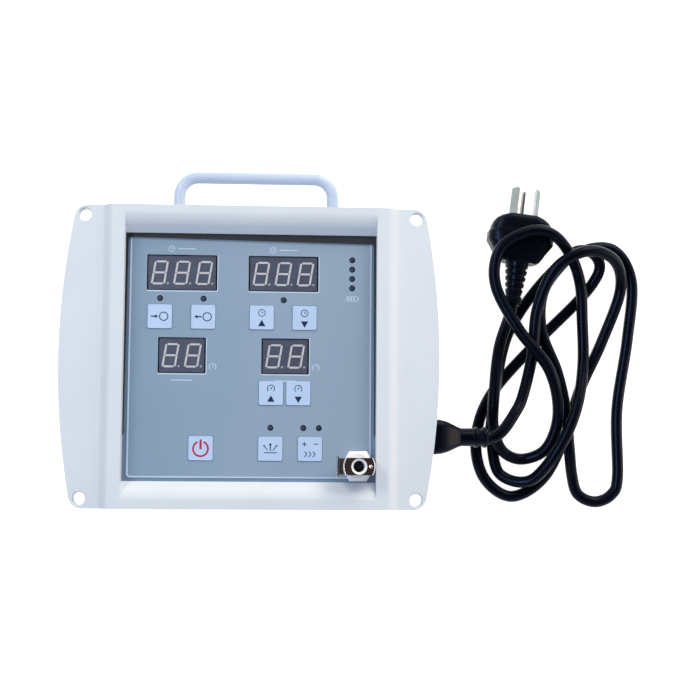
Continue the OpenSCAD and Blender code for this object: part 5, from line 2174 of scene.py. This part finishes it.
@dataclass
class Coupling:
    """Quick coupling for the cuff hose: hexagon, collar, latch housing, latch and trip pin."""

    at: Spot = COUPLING_SPOT
    hex_flats: float = 16.6
    z_face: float = 82.0
    z_hex: float = 87.5
    z_housing: float = 89.5
    z_mouth: float = 98.5
    bore: float = 3.15

    def build(self) -> None:
        """Make the body and its moving pieces."""
        self.body()
        self.latch()
        self.springs()
        self.trip_pin()

    def here(self, piece: Piece) -> Piece:
        """Carry a piece from the axis to the coupling's place."""
        return put(piece, (*self.at, 0))

    def body(self) -> None:
        """Turn, mill and bore the body."""
        flat, foot, top = self.hex_flats / 2, self.z_face, self.z_hex
        corner = flat / math.cos(math.pi / 6)
        made = turned("hose_coupling_body", [(corner, foot), (corner, top)], sides=6)
        put(made, turn=(0, 0, math.pi / 6))
        wide = corner + 0.1
        rings = [(flat - 0.1, foot), (wide, foot + 0.8), (wide, top - 0.9), (flat - 0.3, top)]
        carve(made, turned("chamfer", rings, sides=64), Cut.KEEP)
        collar = [(7.7, top - 0.5), (7.7, self.z_housing - 0.6), (7.1, self.z_housing)]
        carve(made, turned("collar", collar, sides=64), Cut.ADD)
        soften(made, 0.2, 3, 35)
        # Hexagon and collar in the near-white chrome: painted reflection.
        coated(made, CHROME_WITH_PAINTED_REFLECTION)
        shape = [(8.8, self.z_housing - 0.5), (8.8, self.z_mouth - 0.5), (8.3, self.z_mouth)]
        housing = turned("housing", shape, sides=64)
        carve(housing, block("flats", (-12, -4.7, 80), (12, 4.7, 110)), Cut.KEEP)
        soften(housing, 0.08, 2, 35)
        coated(housing, CHROME)
        carve(made, housing, Cut.ADD)
        thread: list[Spot] = [(5.6, 66.0), (6.3, 66.7)]
        for i in range(12):
            z = 67.2 + 1.0 * i
            thread += [(6.3, z), (5.8, z + 0.35), (6.3, z + 0.7)]
        shank = coated(turned("shank", [*thread, (6.3, foot + 0.5)], sides=48), CHROME)
        carve(made, shank, Cut.ADD)
        r, z = self.bore, self.z_mouth
        hole = [(r, 84.9), (r, z - 1.2), (r + 1.2, z), (r + 1.5, z + 0.3)]
        # The countersink takes the near-white chrome too: painted reflection.
        carve(made, coated(turned("bore", hole, sides=48), CHROME_WITH_PAINTED_REFLECTION))
        carve(made, turned("chamber", [(4.0, 65), (4.0, 85)], sides=40))
        carve(made, block("slot", (-12, -12, 92.1), (4.7, 12, 93.5)))
        carve(made, turned("trip", [(1.05, z - 5.5), (1.05, z + 1)], (6.2, 0, 0), sides=24))
        carve(made, turned("pocket", [(1.2, 0), (1.2, 5)], (-9.8, 0, 90.8), Facing.RIGHT, 24))
        self.here(made)
        hand_over(made, "unit", ["coupling_body"], angle=32)

    def latch(self) -> None:
        """Press the latch: a plate with an open eye, and the ribbed thumb tab."""
        plate = block("thumb_latch", (-10.9, -4.4, 92.2), (2.6, 4.4, 93.4))
        eye = turned("eye", [(3.35, 91), (3.35, 95)], (-1.3, 0, 0), sides=40)
        carve(plate, eye)
        carve(plate, block("way", (-2.3, -3.35, 91), (8.7, 3.35, 95)))
        tab = block("tab", (-12.1, -5.6, 88.1), (-10.9, 5.6, 97.3))
        carve(tab, block("slit", (-13, -4, 89.9), (-11.8, 4, 90.3)))
        for i in range(4):
            z = 91.6 + 1.3 * i
            carve(tab, block("rib", (-13, -4.6, z), (-11.9, 4.6, z + 0.5)))
        soften(tab, 0.25, 3, 35)
        soften(plate, 0.1, 2, 35)
        made = self.here(joined("thumb_latch", [tab, plate]))
        hand_over(made, "latch", ["coupling_latch"], LATCH_STEEL)

    def coil(
        self, name: str, radius: float, length: float, turns: float, wire_radius: float
    ) -> Piece:
        """Wind a spring along +Z from 0.

        Args:
            name: The piece's name.
            radius: Radius to the middle of the wire.
            length: Its length.
            turns: How many turns it has.
            wire_radius: Radius of the wire.

        Returns:
            The spring.
        """
        steps = int(turns * 20)
        low, high = wire_radius, length - wire_radius
        line = []
        for i in range(steps + 1):
            a = math.tau * turns * i / steps
            z = low + (high - low) * i / steps
            line.append(Vector((radius * math.cos(a), radius * math.sin(a), z)))
        return wire(name, line, wire_radius, 8)

    def springs(self) -> None:
        """Wind the latch's and the poppet's springs."""
        small = self.coil("latch_coil", 0.85, 5.9, 7, 0.15)
        put(small, (-10.8, 0, 90.8), Facing.RIGHT.value)
        self.here(small)
        hand_over(small, "unit", ["latch_spring"], SPRING_STEEL)
        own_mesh(small)
        large = self.coil("poppet_coil", 2.5, 13.0, 6, 0.28)
        self.here(put(large, (0, 0, 70.0)))
        hand_over(large, "unit", ["poppet_spring"], SPRING_STEEL)
        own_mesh(large)

    def trip_pin(self) -> None:
        """Turn the trip pin with its rounded tip."""
        z = self.z_mouth
        rings = [(1.0, z - 3.5), (1.0, z + 0.3), (0.85, z + 0.65), (0.5, z + 0.88), (0.2, z + 0.9)]
        made = self.here(turned("trip_pin_turned", rings, (6.2, 0, 0), sides=28))
        hand_over(made, "trip_pin", ["trip_pin"], CHROME)


# Inside


@dataclass
class Inside:
    """What lies in the case: kept nodes with their stock materials, and soft pieces redrawn."""

    ribbon_x: float = 40.0
    ribbon_wide: float = 18.0
    ribbon_thick: float = 0.8
    ribbon_path: Sequence[Spot] = (
        (11.9, 65.9), (11.9, 56.4), (11.4, 54.6), (8.6, 52.6), (7.9, 51.0), (7.9, 32.0),
        (8.6, 30.0), (14.2, 24.4), (15.0, 22.8), (15.0, 15.6),
    )  # fmt: skip
    # Radius and route of each tube.
    tubes: Sequence[tuple[float, Sequence[Point]]] = (
        (2.5, (
            (60.2, -60, 60), (60.2, -60, 54), (58, -57, 53), (47, -44, 49), (28, -18, 47),
            (8, -8, 41), (-6, -8, 24), (-12, -7, 12), (-12, -1, 8), (-12, 7, 8),
        )),
        (2.5, (
            (-29, 35, 36), (-29, 35, 44), (-25, 34, 52), (-17, 33, 52), (-12, 32, 44),
            (-12, 32, 30), (-12, 32, 14),
        )),
        (2.2, (
            (-12, 57, 14), (-12, 57, 24), (-5, 55, 36), (7, 50, 29.6), (14, 48, 23.6),
            (14, 48, 15.6),
        )),
    )  # fmt: skip

    def build(self) -> None:
        """Dress the kept nodes and redraw the tubes and the ribbon cable."""
        kept = {
            "case_shell": CASE_ABS, "rear_cover": CASE_ABS, "front_panel": PANEL_ENAMEL,
            "panel_screws": ZINC_SCREW, "board_screws": ZINC_SCREW,
            "display_board": BOARD_TOP, "board_posts": BRASS, "key_switches": SWITCH_PLASTIC,
            "buzzer": SWITCH_PLASTIC, "coupling_barb": BRASS, "coupling_nut": BRASS,
            "valve_poppet": POPPET_ACETAL, "supply_board": BOARD_SUPPLY,
            "supply_transformer": TAPE_YELLOW,
            "main_board": BOARD_MAIN, "pressure_sensor": SENSOR_WHITE, "battery_pack": CELL_WRAP,
            "battery_bracket": BRACKET_STEEL, "pump_motor": MOTOR_STEEL, "pump_head": PUMP_NYLON,
            "pump_crank": BRASS, "pump_cradle": BRACKET_STEEL, "valve_manifold": MANIFOLD_ALLOY,
            "valve_coils": COIL_WIRE, "inflate_plunger": MOTOR_STEEL,
            "release_plunger": MOTOR_STEEL,
        }  # fmt: skip
        for node, finish in kept.items():
            dress(node, finish)
        lines = [wire("tube", smooth_line(knots, 8), r, 16) for r, knots in self.tubes]
        made = joined("silicone_air_tubes", lines)
        hand_over(made, "unit", ["air_tubes"], TUBE_SILICONE, 60)
        self.ribbon()

    def ribbon(self) -> None:
        """Fold the flat ribbon cable from the display board down to the main board."""
        half = self.ribbon_wide / 2
        x = self.ribbon_x
        line = [Vector(spot) for spot in self.ribbon_path]
        steps = [(b - a).normalized() for a, b in zip(line, line[1:])]
        sides = []
        for spot, before, after in zip(line, [steps[0], *steps], [*steps, steps[-1]]):
            across = (before + after).normalized().orthogonal()
            sides.append(across * (self.ribbon_thick / 2 / across.dot(after.orthogonal())))
        outline = [tuple(spot + side) for spot, side in zip(line, sides)]
        outline += [tuple(spot - side) for spot, side in reversed(list(zip(line, sides)))]
        made = drawn("flat_ribbon_cable", outline, x - half, x + half)
        hand_over(made, "unit", ["ribbon_cable"], RIBBON_PVC)


def main() -> None:
    """Build every sub-assembly in order."""
    logging.basicConfig(level=logging.INFO, format="%(name)s %(message)s")
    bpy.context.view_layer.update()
    bpy.context.scene.view_settings.view_transform = "Standard"
    Studio().build()
    MainsLead().build()
    Inlet().build()
    bezel, handle = Bezel(), Handle()
    bezel.build()
    handle.build()
    Feet().build(handle)
    CaseScrews().build(bezel)
    keypad, displays = Keypad(), Displays()
    Panel().build(keypad, displays)
    keypad.build()
    displays.build()
    Coupling().build()
    Inside().build()


if __name__ == "__main__":
    main()
